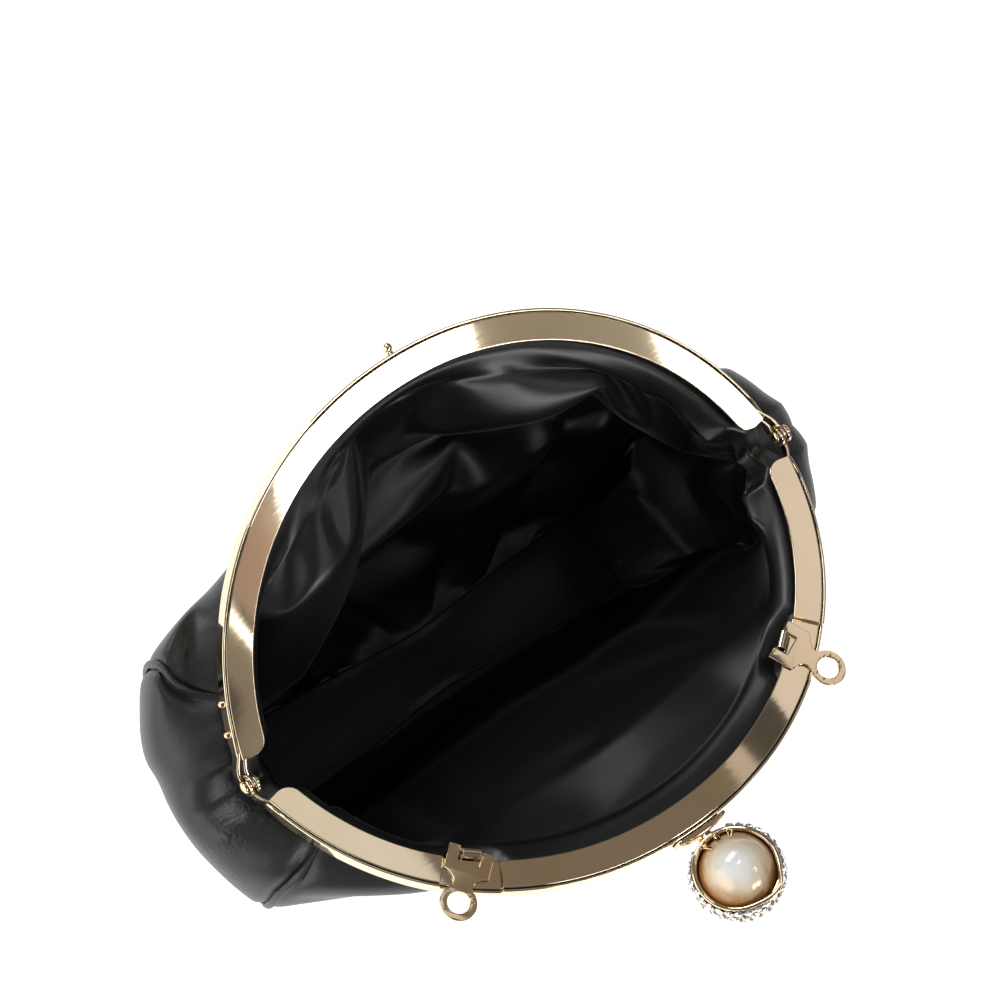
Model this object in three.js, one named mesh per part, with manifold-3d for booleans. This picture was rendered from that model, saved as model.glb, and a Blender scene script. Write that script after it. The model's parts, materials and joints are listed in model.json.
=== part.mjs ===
// A clutch purse with an oval hinged frame, a pearl clasp and two chain lugs, standing wide open.
// Millimetres, +Z up. The origin is the centre of the flat base, straight below the middle of the
// hinge line. X runs along the hinge line, the front half opens towards -Y, the back half towards +Y.
import * as THREE from "three";
import { mergeVertices } from "three/addons/utils/BufferGeometryUtils.js";
import Module from "manifold-3d";

const wasm = await Module();
wasm.setup();

// Frame arch, measured at its outer edge in the plane of one half.
const HINGE_HEIGHT = 78;
const OPEN_ANGLE = THREE.MathUtils.degToRad(79);
const ARCH_HALF_WIDTH = 98.75;
const ARCH_RISE = 91.8;
const ARCH_DROP = 12.4; // the arch's centre lies this far below the hinge line
const ARCH_POWER = 2.055;
const CHANNEL_FOOT = 6.8; // height above the hinge line where the channel ends

// Frame sections. "Inward" runs from the outer edge towards the hinge line, "depth" runs from the
// closing plane towards the outside of the purse.
const HALF_DEPTH = 5.4;
const CLOSING_GAP = 0.3;
const SHEET = 0.8;
const FLANGE_WIDTH = 5.5;
const FLANGE_TAPER = 5;
const PLATE_START = 1.1;
const PLATE_END = 9.2;
const PLATE_LEG_DEPTH = 2.45;
const PLATE_CORNER = 4.5;
const FRAME_STATIONS = 36;

// Chain lugs and the recess that each one lies in.
const LUG_ANGLE = THREE.MathUtils.degToRad(47.6);
const LUG_YAW = THREE.MathUtils.degToRad(14);
const LUG_SHEET = 0.7;
const LUG_WIDTH = 13;
const LUG_REACH = 15; // hinge axis to ring centre
const RING_RADIUS = 5.3;
const RING_HOLE = 3.2;
const RECESS_HALF = 9.1;
const RECESS_RAMP = 0.6;
const RECESS_DEPTH = 1.2;
const LUG_BAR = 0.35; // half the width of the bar that the tongue holds
const LUG_NECK = 2.8;
const CURL_RADIUS = 1.65;
const CURL_BORE = 1.15;
const CURL_HALF_LENGTH = 2.6;
const CURL_LEAD = 1.6; // flat run from the plate's edge to the curl
const CURL_END = THREE.MathUtils.degToRad(-190);
const CURL_INWARD = PLATE_END + CURL_RADIUS + 0.2;
const CURL_DEPTH = 1;

// Hinge knuckles.
const EYE_RADIUS = 3.1;
const LEAF_SHEET = 0.9;
const LEAF_PITCH = 1.2;
const LEAF_INSET = 1.15; // outermost point of the frame to the middle leaf's centre
const LEAF_OVERLAP = 5; // how far a leaf reaches up inside the channel
const EYE_START = THREE.MathUtils.degToRad(30);
const EYE_END = THREE.MathUtils.degToRad(-215);
const RIVET_RADIUS = 1;
const RIVET_BORE = 1.3;
const RIVET_HEAD = 1.9;
const PIN_RADIUS = 1;
const PIN_DISTANCES = { lower: 7.5, upper: 16 }; // along the arch from the channel's end

// Clasp.
const PEARL_RADIUS = 11.3;
const CUP_RADIUS = 13.2;
const CUP_WALL = 1.2;
const CRYSTAL_LAYER = 1.3;
const CLASP_REACH = 16.4; // frame's outer edge to the pearl's centre
const CLASP_DEPTH = 1.2;
const CLASP_SHIFT = 2.2; // from the middle of the arch towards +X
const CLASP_LEAN = THREE.MathUtils.degToRad(17.8); // of the pearl's face, towards -X
const CLASP_NOD = THREE.MathUtils.degToRad(10); // of the pearl's face, towards the frame
const BEZEL_ANGLE = THREE.MathUtils.degToRad(67); // polar angles count from the open side
const BEZEL_WIRE = 0.75;
const CUP_RIM_ANGLE = THREE.MathUtils.degToRad(76);
const CRYSTALS_FROM = THREE.MathUtils.degToRad(84);
const CRYSTALS_TO = THREE.MathUtils.degToRad(166);
const SADDLE_HALF_LENGTH = 8.5;
const SADDLE_SKIN = 0.3;
const SADDLE_LEG = 2.4;
const NECK_OFFSET = 1.6;
const NECK_BURIED = 0.9; // length of the neck inside the saddle
const BALL_RADIUS = 1.5;
const BALL_HEIGHT = 1.7;
const BALL_STEM = 0.8;

// Body of the purse. Each value pair is [at the corner seams, at the middle of a side].
const BASE_TOP = 1.7;
const SATIN = 0.6;
const LEATHER_LAYER = { depth: 4.3, exit: 6.5, inset: 0, thickness: 1.2, foot: BASE_TOP };
const LINING_LAYER = { depth: 3.3, exit: 10, inset: 2.6, thickness: SATIN, foot: BASE_TOP + 3.6 };
const FABRIC_TOP = 2.3; // inward distance of the fabric's edge, inside the channel
const FOLD_REACH = 4.5;
const FOLD_DEPTH = 8.3;
const RUN_SHARE = 0.06;
const FOLD_SHARE = 0.16;
const WALL_ROWS = [0, RUN_SHARE, 0.11, FOLD_SHARE, 0.24, 0.34, 0.46, 0.6, 0.74, 0.88, 1];
const SEAM_STATION = 0.105; // share of the arch's length where the corner seams meet the frame
const SEAM_MARGIN = 0.014; // keeps neighbouring walls apart at the corner seams
const SEAM_HEAD = 0.22;
const SEAM_PIPE = 0.9;
const SEAM_STANDOFF = 1.85; // wall to the pipe's centre
const SEAM_SIDES = 6;
const SEAM_STEPS = 10;
const HINGE_CLEAR = 0.22; // share of an end wall that crosses below the hinge, free of the frame
const HINGE_SAG = 5.2;
const HINGE_TUCK = 2.4;
const FRONT_SPREAD = { x: [-116, -116], y: [-42, -60], z: [-8, -4] };
const FRONT_FLANK = { x: [-100, -100], y: [-40, -56], z: [-50, -50] };
const FRONT_FOOT = { x: [-77, -77], y: [-23, -26], z: [0, 0] };
const END_SPREAD = { x: [-116, -136], y: [-42, -42], z: [-8, -8] };
const END_FLANK = { x: [-100, -98], y: [-40, -40], z: [-50, -50] };
const END_FOOT = { x: [-77, -80], y: [-23, -23], z: [0, 0] };
const PANEL_COLUMNS = 16;
const END_COLUMNS = 8;

// Floor panels, as half lengths and half widths.
const LEATHER_FLOOR = { length: 81, width: 26, thickness: 1.4 };
const BOARD_FLOOR = { length: 73.5, width: 19.5, thickness: 2.4 };
const LINING_FLOOR = { length: 72.5, width: 18.6, thickness: SATIN };
const FLOOR_CORNER = 9;
const FLOOR_BULGE = 2.5;

const GOLD = { color: 0xd9bf8c, roughness: 0.12, metalness: 1 };
const BLACK_LEATHER = { color: 0x17181a, roughness: 0.5, metalness: 0 };
const BLACK_SATIN = { color: 0x0c0c0d, roughness: 0.28, metalness: 0 };
const GREY_BOARD = { color: 0x8c8478, roughness: 0.9, metalness: 0 };
const NACRE = { color: 0xefe9dc, roughness: 0.18, metalness: 0 };
const CRYSTAL = { color: 0xeef3f6, roughness: 0.05, metalness: 0 };

const purse = new THREE.Group();

// ---------------------------------------------------------------- helpers

function piece(name, geometry, finish, parent = purse) {
  const mesh = new THREE.Mesh(geometry, new THREE.MeshStandardMaterial(finish));
  mesh.name = name;
  parent.add(mesh);
  return mesh;
}

function signedVolume(points, faces) {
  const cross = new THREE.Vector3();
  let sum = 0;
  for (let i = 0; i < faces.length; i += 3) {
    cross.crossVectors(points[faces[i + 1]], points[faces[i + 2]]);
    sum += points[faces[i]].dot(cross);
  }
  return sum / 6;
}

function closedBody(points, faces) {
  const outward = signedVolume(points, faces) > 0 ? faces : faces.slice().reverse();
  const geometry = new THREE.BufferGeometry();
  geometry.setAttribute("position", new THREE.Float32BufferAttribute(points.flatMap((p) => p.toArray()), 3));
  geometry.setIndex(outward);
  geometry.computeVertexNormals();
  return geometry;
}

// Skins a row of closed sections, each a list of points, and caps both ends.
function loft(sections, capOutline) {
  const count = sections[0].length;
  const points = sections.flat();
  const faces = [];
  for (let i = 0; i + 1 < sections.length; i += 1) {
    for (let j = 0; j < count; j += 1) {
      const a = i * count + j;
      const b = i * count + ((j + 1) % count);
      faces.push(a, b, b + count, a, b + count, a + count);
    }
  }
  const last = (sections.length - 1) * count;
  for (const [a, b, c] of THREE.ShapeUtils.triangulateShape(capOutline, [])) {
    faces.push(a, c, b);
    faces.push(last + a, last + b, last + c);
  }
  return closedBody(points, faces);
}

// A closed sheet between two grids of points.
function slab(outside, inside) {
  const rows = outside.length;
  const columns = outside[0].length;
  const points = [...outside.flat(), ...inside.flat()];
  const at = (layer, row, column) => layer * rows * columns + row * columns + column;
  const faces = [];
  const quad = (a, b, c, d) => faces.push(a, b, c, a, c, d);
  for (let r = 0; r + 1 < rows; r += 1) {
    for (let c = 0; c + 1 < columns; c += 1) {
      quad(at(0, r, c), at(0, r, c + 1), at(0, r + 1, c + 1), at(0, r + 1, c));
      quad(at(1, r, c), at(1, r + 1, c), at(1, r + 1, c + 1), at(1, r, c + 1));
    }
    quad(at(0, r, 0), at(0, r + 1, 0), at(1, r + 1, 0), at(1, r, 0));
    quad(at(0, r + 1, columns - 1), at(0, r, columns - 1), at(1, r, columns - 1), at(1, r + 1, columns - 1));
  }
  for (let c = 0; c + 1 < columns; c += 1) {
    quad(at(0, 0, c + 1), at(0, 0, c), at(1, 0, c), at(1, 0, c + 1));
    quad(at(0, rows - 1, c), at(0, rows - 1, c + 1), at(1, rows - 1, c + 1), at(1, rows - 1, c));
  }
  return closedBody(points, faces);
}

function toSolid(geometry, matrix = new THREE.Matrix4()) {
  const bare = new THREE.BufferGeometry();
  bare.setAttribute("position", geometry.getAttribute("position").clone());
  bare.setIndex(geometry.getIndex());
  bare.applyMatrix4(matrix);
  const merged = mergeVertices(bare, 1e-4);
  const index = merged.getIndex().array;
  const faces = [];
  for (let i = 0; i < index.length; i += 3) {
    const [a, b, c] = index.subarray(i, i + 3);
    if (a !== b && b !== c && c !== a) faces.push(a, b, c);
  }
  return new wasm.Manifold(
    new wasm.Mesh({
      numProp: 3,
      vertProperties: new Float32Array(merged.getAttribute("position").array),
      triVerts: new Uint32Array(faces),
    }),
  );
}

function fromSolid(solid) {
  const mesh = solid.getMesh();
  const geometry = new THREE.BufferGeometry();
  geometry.setAttribute("position", new THREE.BufferAttribute(new Float32Array(mesh.vertProperties), 3));
  geometry.setIndex(new THREE.BufferAttribute(new Uint32Array(mesh.triVerts), 1));
  geometry.computeVertexNormals();
  return geometry;
}

function joined(...solids) {
  return solids.reduce((whole, solid) => whole.add(solid));
}

// ---------------------------------------------------------------- frame arch

// One half of the frame lies in X (along the hinge), Y (depth) and Z (height above the hinge line).
class ArchCurve extends THREE.Curve {
  getPoint(t, target = new THREE.Vector3()) {
    const foot = Math.asin(((CHANNEL_FOOT + ARCH_DROP) / ARCH_RISE) ** (ARCH_POWER / 2));
    const angle = THREE.MathUtils.lerp(foot, Math.PI - foot, t);
    const side = Math.sign(Math.cos(angle));
    const x = side * ARCH_HALF_WIDTH * Math.abs(Math.cos(angle)) ** (2 / ARCH_POWER);
    const z = ARCH_RISE * Math.sin(angle) ** (2 / ARCH_POWER) - ARCH_DROP;
    return target.set(x, 0, z);
  }
}

const arch = new ArchCurve();
arch.arcLengthDivisions = 400;
const ARCH_LENGTH = arch.getLength();

function archNormal(distance) {
  const tangent = arch.getTangentAt(distance / ARCH_LENGTH);
  return new THREE.Vector3(tangent.z, 0, -tangent.x);
}

// A point of one half: distance along the arch, distance inward from its edge, and depth.
function onHalf(distance, inward, depth) {
  const point = arch.getPointAt(THREE.MathUtils.clamp(distance / ARCH_LENGTH, 0, 1));
  point.addScaledVector(archNormal(distance), -inward);
  point.y = depth;
  return point;
}

function distanceAtAngle(angle) {
  const steps = 400;
  for (let i = 0; i <= steps; i += 1) {
    const distance = (ARCH_LENGTH * i) / steps;
    const point = arch.getPointAt(i / steps);
    if (Math.atan2(point.z + ARCH_DROP, point.x) >= angle) return distance;
  }
  return ARCH_LENGTH;
}

// The front half is turned half round, so its distances run from the purse's -X end.
const CLASP_DISTANCE = ARCH_LENGTH / 2 + CLASP_SHIFT;
const LUG_DISTANCES = [distanceAtAngle(LUG_ANGLE), ARCH_LENGTH - distanceAtAngle(LUG_ANGLE)];

// How far the front half's face is pressed in at a distance along the arch.
function recess(distance) {
  const fromLug = Math.min(...LUG_DISTANCES.map((lug) => Math.abs(distance - lug)));
  const ramp = (RECESS_HALF - fromLug) / RECESS_RAMP;
  return RECESS_DEPTH * THREE.MathUtils.clamp(ramp, 0, 1);
}

function frameStations(start, end, extra) {
  const stations = [...extra];
  for (let i = 0; i <= FRAME_STATIONS; i += 1) stations.push(start + ((end - start) * i) / FRAME_STATIONS);
  stations.sort((a, b) => a - b);
  return stations.filter((s, i) => i === 0 || s - stations[i - 1] > 0.25);
}

function recessStations() {
  return LUG_DISTANCES.flatMap((lug) => [-1, 1].flatMap((side) => [
    lug + side * RECESS_HALF,
    lug + side * (RECESS_HALF - RECESS_RAMP),
  ]));
}

function sweep(stations, outline) {
  const sections = stations.map((s) => outline(s).map(([inward, depth]) => onHalf(s, inward, depth)));
  const cap = outline(stations[0]).map(([inward, depth]) => new THREE.Vector2(inward, depth));
  return loft(sections, cap);
}

// ---------------------------------------------------------------- frame pieces

function leafGeometry(x) {
  const shape = new THREE.Shape();
  const rise = CHANNEL_FOOT + LEAF_OVERLAP;
  const near = SHEET;
  const far = HALF_DEPTH - 0.5;
  shape.moveTo(near, rise);
  shape.lineTo(far, rise);
  shape.lineTo(far, CHANNEL_FOOT);
  shape.absarc(0, 0, EYE_RADIUS, EYE_START, EYE_END, true);
  shape.lineTo(near, CHANNEL_FOOT);
  const bore = new THREE.Path();
  bore.absarc(0, 0, RIVET_BORE, 0, Math.PI * 2, false);
  shape.holes.push(bore);
  const leaf = new THREE.ExtrudeGeometry(shape, { depth: LEAF_SHEET, bevelEnabled: false, curveSegments: 9 });
  // The shape's x is depth and its y is height; the extrusion runs along the hinge line.
  const turn = new THREE.Matrix4().makeBasis(
    new THREE.Vector3(0, 1, 0),
    new THREE.Vector3(0, 0, 1),
    new THREE.Vector3(1, 0, 0),
  );
  return leaf.applyMatrix4(turn).translate(x - LEAF_SHEET / 2, 0, 0);
}

// leafOffsets are the leaves' places, counted in leaf pitches from the middle of the knuckle.
function channelGeometry(isFront, leafOffsets) {
  const dip = isFront ? recess : () => 0;
  const taper = [FLANGE_TAPER, ARCH_LENGTH - FLANGE_TAPER];
  const stations = frameStations(0, ARCH_LENGTH, isFront ? [...taper, ...recessStations()] : taper);
  const outline = (s) => {
    const lip = CLOSING_GAP + dip(s);
    const toEnd = Math.min(s, ARCH_LENGTH - s);
    const grown = Math.min(toEnd / FLANGE_TAPER, 1);
    const flange = THREE.MathUtils.lerp(1.7, FLANGE_WIDTH, grown);
    return [
      [0, lip + 0.5],
      [0.25, lip],
      [SHEET, lip],
      [SHEET, HALF_DEPTH - SHEET],
      [flange, HALF_DEPTH - SHEET],
      [flange, HALF_DEPTH],
      [0.9, HALF_DEPTH],
      [0.25, HALF_DEPTH - 0.35],
      [0, HALF_DEPTH - 1],
    ];
  };
  let solid = toSolid(sweep(stations, outline));
  const bridge = new THREE.BoxGeometry(LEAF_PITCH * 2 + LEAF_SHEET, HALF_DEPTH - 1.6, 3);
  for (const side of [-1, 1]) {
    const middle = side * (ARCH_HALF_WIDTH - LEAF_INSET);
    for (const offset of leafOffsets) {
      solid = solid.add(toSolid(leafGeometry(middle + side * offset * LEAF_PITCH)));
    }
    const lift = new THREE.Matrix4().makeTranslation(middle, HALF_DEPTH / 2 + 0.3, CHANNEL_FOOT + 2.5);
    solid = solid.add(toSolid(bridge, lift));
  }
  return fromSolid(solid);
}

// The tongue that curls round a lug's end bar, in the inward and depth directions.
function tongueGeometry() {
  const shape = new THREE.Shape();
  const strip = CURL_RADIUS - CURL_BORE;
  shape.moveTo(-CURL_RADIUS - CURL_LEAD, CURL_RADIUS);
  shape.absarc(0, 0, CURL_RADIUS, Math.PI / 2, CURL_END, true);
  shape.absarc(0, 0, CURL_BORE, CURL_END, Math.PI / 2, false);
  shape.lineTo(-CURL_RADIUS - CURL_LEAD, CURL_RADIUS - strip);
  return new THREE.ExtrudeGeometry(shape, {
    depth: CURL_HALF_LENGTH * 2,
    bevelEnabled: false,
    curveSegments: 7,
  }).translate(0, 0, -CURL_HALF_LENGTH);
}

// The place of a lug's hinge axis on the front half: x along the arch, y outward, z out of the face.
function lugPlacement(distance) {
  const outward = archNormal(distance);
  const upward = new THREE.Vector3(0, -1, 0);
  const along = new THREE.Vector3().crossVectors(outward, upward);
  const origin = onHalf(distance, CURL_INWARD, CURL_DEPTH);
  return new THREE.Matrix4().makeBasis(along, outward, upward).setPosition(origin);
}

function plateGeometry(isFront) {
  const dip = isFront ? recess : () => 0;
  const corner = [0, 0.4, 1.3, 2.7, PLATE_CORNER];
  const ends = corner.flatMap((c) => [c, ARCH_LENGTH - c]);
  const stations = frameStations(0, ARCH_LENGTH, [...ends, ...(isFront ? recessStations() : [])]);
  const outline = (s) => {
    const toEnd = Math.min(s, ARCH_LENGTH - s, PLATE_CORNER);
    const cut = PLATE_CORNER - Math.sqrt(PLATE_CORNER ** 2 - (PLATE_CORNER - toEnd) ** 2);
    const top = CLOSING_GAP + dip(s);
    const edge = PLATE_END - cut;
    return [
      [PLATE_START, top],
      [edge, top],
      [edge, top + SHEET],
      [PLATE_START + SHEET, top + SHEET],
      [PLATE_START + SHEET, Math.max(PLATE_LEG_DEPTH, top + SHEET + 0.3)],
      [PLATE_START, Math.max(PLATE_LEG_DEPTH, top + SHEET + 0.3)],
    ];
  };
  const plate = sweep(stations, outline);
  if (!isFront) return plate;
  // In the lug's frame the tongue's shape has x inward and y deeper, and runs along the arch.
  const turn = new THREE.Matrix4().makeBasis(
    new THREE.Vector3(0, -1, 0),
    new THREE.Vector3(0, 0, -1),
    new THREE.Vector3(1, 0, 0),
  );
  const tongues = LUG_DISTANCES.map((s) => toSolid(tongueGeometry(), lugPlacement(s).multiply(turn)));
  return fromSolid(joined(toSolid(plate), ...tongues));
}

function lugGeometry() {
  const half = LUG_WIDTH / 2;
  const heel = -1.3;
  const shoulder = 6.2;
  const throat = shoulder + 1;
  const neckTop = LUG_REACH - RING_RADIUS - 0.3;
  const window = CURL_HALF_LENGTH + 0.5;
  const windowTop = CURL_RADIUS + 1.5;
  const shape = new THREE.Shape();
  shape.moveTo(-half, heel);
  shape.lineTo(-window - 0.1, heel);
  shape.lineTo(-window, -LUG_BAR);
  shape.lineTo(window, -LUG_BAR);
  shape.lineTo(window + 0.1, heel);
  shape.lineTo(half, heel);
  shape.lineTo(half, shoulder);
  shape.quadraticCurveTo(LUG_NECK + 0.3, throat, LUG_NECK, neckTop);
  const turn = Math.acos(LUG_NECK / RING_RADIUS) + 0.02;
  shape.absarc(0, LUG_REACH, RING_RADIUS, -turn, Math.PI + turn, false);
  shape.lineTo(-LUG_NECK, neckTop);
  shape.quadraticCurveTo(-LUG_NECK - 0.3, throat, -half, shoulder);
  const slot = new THREE.Path();
  slot.moveTo(-window, LUG_BAR);
  slot.lineTo(-window, windowTop);
  slot.lineTo(window, windowTop);
  slot.lineTo(window, LUG_BAR);
  const ring = new THREE.Path();
  ring.absarc(0, LUG_REACH, RING_HOLE, 0, Math.PI * 2, false);
  shape.holes.push(slot, ring);
  return new THREE.ExtrudeGeometry(shape, {
    depth: LUG_SHEET,
    bevelEnabled: false,
    curveSegments: 9,
  }).translate(0, 0, -LUG_SHEET / 2);
}

function rivetGeometry() {
  const span = LEAF_PITCH + LEAF_SHEET / 2 + 0.3;
  const head = [
    [RIVET_RADIUS, span],
    [RIVET_HEAD, span],
    [RIVET_HEAD, span + 0.1],
    [RIVET_HEAD * 0.6, span + 0.8],
    [0, span + 1],
  ];
  const tail = head.map(([radius, height]) => [radius, -height]).reverse();
  const profile = [...tail, ...head].map(([radius, height]) => new THREE.Vector2(radius, height));
  return new THREE.LatheGeometry(profile, 14).rotateZ(-Math.PI / 2);
}

// ---------------------------------------------------------------- clasp

// A band of a sphere shell round the clasp's own axis, from one polar angle to another.
function shellBand(inner, outer, fromAngle, toAngle, steps, segments) {
  const inside = [];
  const outside = [];
  for (let i = 0; i <= steps; i += 1) {
    const angle = THREE.MathUtils.lerp(fromAngle, toAngle, i / steps);
    const radius = angle < Math.PI ? Math.sin(angle) : 0;
    inside.push(new THREE.Vector2(inner * radius, inner * Math.cos(angle)));
    outside.unshift(new THREE.Vector2(outer * radius, outer * Math.cos(angle)));
  }
  const profile = [...outside, ...inside];
  if (toAngle < Math.PI) profile.push(outside[0].clone());
  return new THREE.LatheGeometry(profile, segments);
}

function saddleGeometry() {
  const centre = CLASP_DISTANCE;
  const stations = [];
  for (let i = -3; i <= 3; i += 1) stations.push(centre + (i / 3) * SADDLE_HALF_LENGTH);
  const outline = (s) => {
    const swell = 1.4 + 0.9 * Math.cos(((s - centre) / SADDLE_HALF_LENGTH) * (Math.PI / 2));
    const lip = CLOSING_GAP + 0.2;
    const under = HALF_DEPTH + SADDLE_SKIN;
    return [
      [-SADDLE_SKIN, lip],
      [-SADDLE_SKIN, under],
      [SADDLE_LEG, under],
      [SADDLE_LEG, HALF_DEPTH + 1],
      [-swell, HALF_DEPTH + 1],
      [-swell - 0.4, HALF_DEPTH / 2],
      [-swell, lip],
    ];
  };
  const neckLength = CLASP_REACH - CUP_RADIUS - NECK_BURIED;
  const neck = new THREE.CylinderGeometry(2.2, 2.8, neckLength, 14).rotateX(Math.PI / 2);
  const middle = onHalf(centre, -NECK_BURIED - neckLength / 2, CLASP_DEPTH + NECK_OFFSET);
  const place = new THREE.Matrix4().makeTranslation(middle.x, middle.y, middle.z);
  const band = toSolid(sweep(stations, outline));
  return fromSolid(band.add(toSolid(neck, place)));
}

function crystalGeometry() {
  const inner = CUP_RADIUS + 0.2;
  const band = toSolid(shellBand(inner, inner + CRYSTAL_LAYER, CRYSTALS_FROM, CRYSTALS_TO, 6, 22));
  // The saddle and its neck come in along -Z of the clasp.
  const clearance = new THREE.CylinderGeometry(6.5, 6.5, 12, 20).rotateX(Math.PI / 2);
  const place = new THREE.Matrix4().makeTranslation(0, 0, CUP_RADIUS);
  return fromSolid(band.subtract(toSolid(clearance, place)));
}

function addClasp(half) {
  const clasp = new THREE.Group();
  clasp.position.copy(onHalf(CLASP_DISTANCE, -CLASP_REACH, CLASP_DEPTH));
  clasp.rotation.set(CLASP_NOD, 0, CLASP_LEAN);
  half.add(clasp);
  piece("clasp_saddle", saddleGeometry(), GOLD, half);
  // The clasp opens towards the closing plane, so its own +Y axis points to less depth.
  const open = new THREE.Group();
  open.rotation.x = Math.PI;
  clasp.add(open);
  const cup = shellBand(CUP_RADIUS - CUP_WALL, CUP_RADIUS, CUP_RIM_ANGLE, Math.PI, 7, 22);
  piece("clasp_cup", cup, GOLD, open);
  piece("clasp_pearl", new THREE.SphereGeometry(PEARL_RADIUS, 20, 12), NACRE, open);
  const reach = CUP_RADIUS - CUP_WALL / 2;
  const bezel = new THREE.TorusGeometry(reach * Math.sin(BEZEL_ANGLE), BEZEL_WIRE, 6, 28);
  bezel.rotateX(Math.PI / 2).translate(0, reach * Math.cos(BEZEL_ANGLE) + 0.35, 0);
  piece("clasp_bezel", bezel, GOLD, open);
  piece("clasp_crystals", crystalGeometry().rotateX(Math.PI), CRYSTAL, clasp);
}

function catchBallGeometry() {
  const profile = [[0, 0.3], [BALL_STEM, 0.3], [BALL_STEM, 1]];
  const steps = 7;
  for (let i = 1; i <= steps; i += 1) {
    const angle = THREE.MathUtils.degToRad(THREE.MathUtils.lerp(-60, 90, i / steps));
    const radius = i < steps ? BALL_RADIUS * Math.cos(angle) : 0;
    profile.push([radius, BALL_HEIGHT + BALL_RADIUS * Math.sin(angle)]);
  }
  return new THREE.LatheGeometry(profile.map(([x, y]) => new THREE.Vector2(x, y)), 16).rotateX(Math.PI / 2);
}

function pinGeometry() {
  const profile = [[0, 0], [1, 0], [0.9, 0.5], [0.5, 0.9], [0, 1]]
    .map(([x, y]) => new THREE.Vector2(x * PIN_RADIUS, y * PIN_RADIUS));
  return new THREE.LatheGeometry(profile, 12).rotateZ(-Math.PI / 2);
}

// ---------------------------------------------------------------- frame assembly

function frameHalf(isFront) {
  const half = new THREE.Group();
  half.position.z = HINGE_HEIGHT;
  half.rotation.set(isFront ? OPEN_ANGLE : -OPEN_ANGLE, 0, isFront ? Math.PI : 0);
  purse.add(half);
  return half;
}

const front = frameHalf(true);
piece("front_channel", channelGeometry(true, [0]), GOLD, front);
piece("front_plate", plateGeometry(true), GOLD, front);
addClasp(front);
// The front half is turned half round, so its own right-hand lug is the purse's left one.
LUG_DISTANCES.forEach((distance, i) => {
  const seat = new THREE.Group();
  seat.applyMatrix4(lugPlacement(distance));
  front.add(seat);
  const lug = piece(i === 0 ? "chain_lug_left" : "chain_lug_right", lugGeometry(), GOLD, seat);
  lug.rotation.z = -LUG_YAW;
});

const back = frameHalf(false);
piece("back_channel", channelGeometry(false, [-1, 1]), GOLD, back);
piece("back_plate", plateGeometry(false), GOLD, back);
const catchSeat = onHalf(ARCH_LENGTH / 2 - CLASP_SHIFT, 0, HALF_DEPTH / 2);
piece("catch_ball", catchBallGeometry(), GOLD, back).position.copy(catchSeat);
for (const [side, word] of [[-1, "left"], [1, "right"]]) {
  for (const [place, distance] of Object.entries(PIN_DISTANCES)) {
    const along = side > 0 ? distance : ARCH_LENGTH - distance;
    const pin = piece(`arm_rivet_${word}_${place}`, pinGeometry(), GOLD, back);
    pin.position.copy(onHalf(along, -0.3, HALF_DEPTH / 2 + 0.8));
    if (side < 0) pin.rotation.z = Math.PI;
  }
}

for (const [side, word] of [[-1, "left"], [1, "right"]]) {
  const rivet = piece(`hinge_rivet_${word}`, rivetGeometry(), GOLD);
  rivet.position.set(side * (ARCH_HALF_WIDTH - LEAF_INSET), 0, HINGE_HEIGHT);
}

// ---------------------------------------------------------------- body of the purse

// A point of the open frame in the purse's own axes; side is -1 in front and 1 behind.
function onOpenFrame(side, distance, inward, depth) {
  const p = onHalf(distance, inward, depth);
  const y = side * (depth * Math.cos(OPEN_ANGLE) + p.z * Math.sin(OPEN_ANGLE));
  const z = HINGE_HEIGHT - depth * Math.sin(OPEN_ANGLE) + p.z * Math.cos(OPEN_ANGLE);
  return new THREE.Vector3(p.x, y, z);
}

// The value between corner and middle at "across", which runs from -1 to 1 along one side.
function bow([atCorner, atMiddle], across) {
  return atCorner + (atMiddle - atCorner) * (1 - across * across);
}

// One strip from the frame to the base. It runs inward out of the channel, folds back under the
// flange and then falls in one full curve. "place" gives a point of the strip's own frame station.
function stripCurve(place, layer, spread, flank, foot) {
  const top = place(FABRIC_TOP, layer.depth);
  const leave = place(layer.exit, layer.depth);
  const bend = place(layer.exit + FOLD_REACH, layer.depth + 0.5);
  const under = place(layer.exit + 1.5, FOLD_DEPTH);
  return [
    new THREE.LineCurve3(top, leave),
    new THREE.QuadraticBezierCurve3(leave, bend, under),
    new THREE.CubicBezierCurve3(under, spread, flank, foot),
  ];
}

// The point at a share of the strip, from 0 at the frame to 1 at the base, moved towards the inside.
function wallPoint([run, fold, fall], share, inset) {
  if (share < RUN_SHARE) return run.getPoint(share / RUN_SHARE);
  const inFold = share < FOLD_SHARE;
  const curve = inFold ? fold : fall;
  const t = inFold ? (share - RUN_SHARE) / (FOLD_SHARE - RUN_SHARE) : (share - FOLD_SHARE) / (1 - FOLD_SHARE);
  const point = curve.getPoint(t);
  const along = curve.getTangent(t);
  const inward = new THREE.Vector3(-point.x, -point.y, 0);
  inward.addScaledVector(along, -inward.dot(along)).normalize();
  const eased = Math.min((share - RUN_SHARE) / (FOLD_SHARE - RUN_SHARE) * 2, 1);
  return point.addScaledVector(inward, inset * eased);
}

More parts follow.
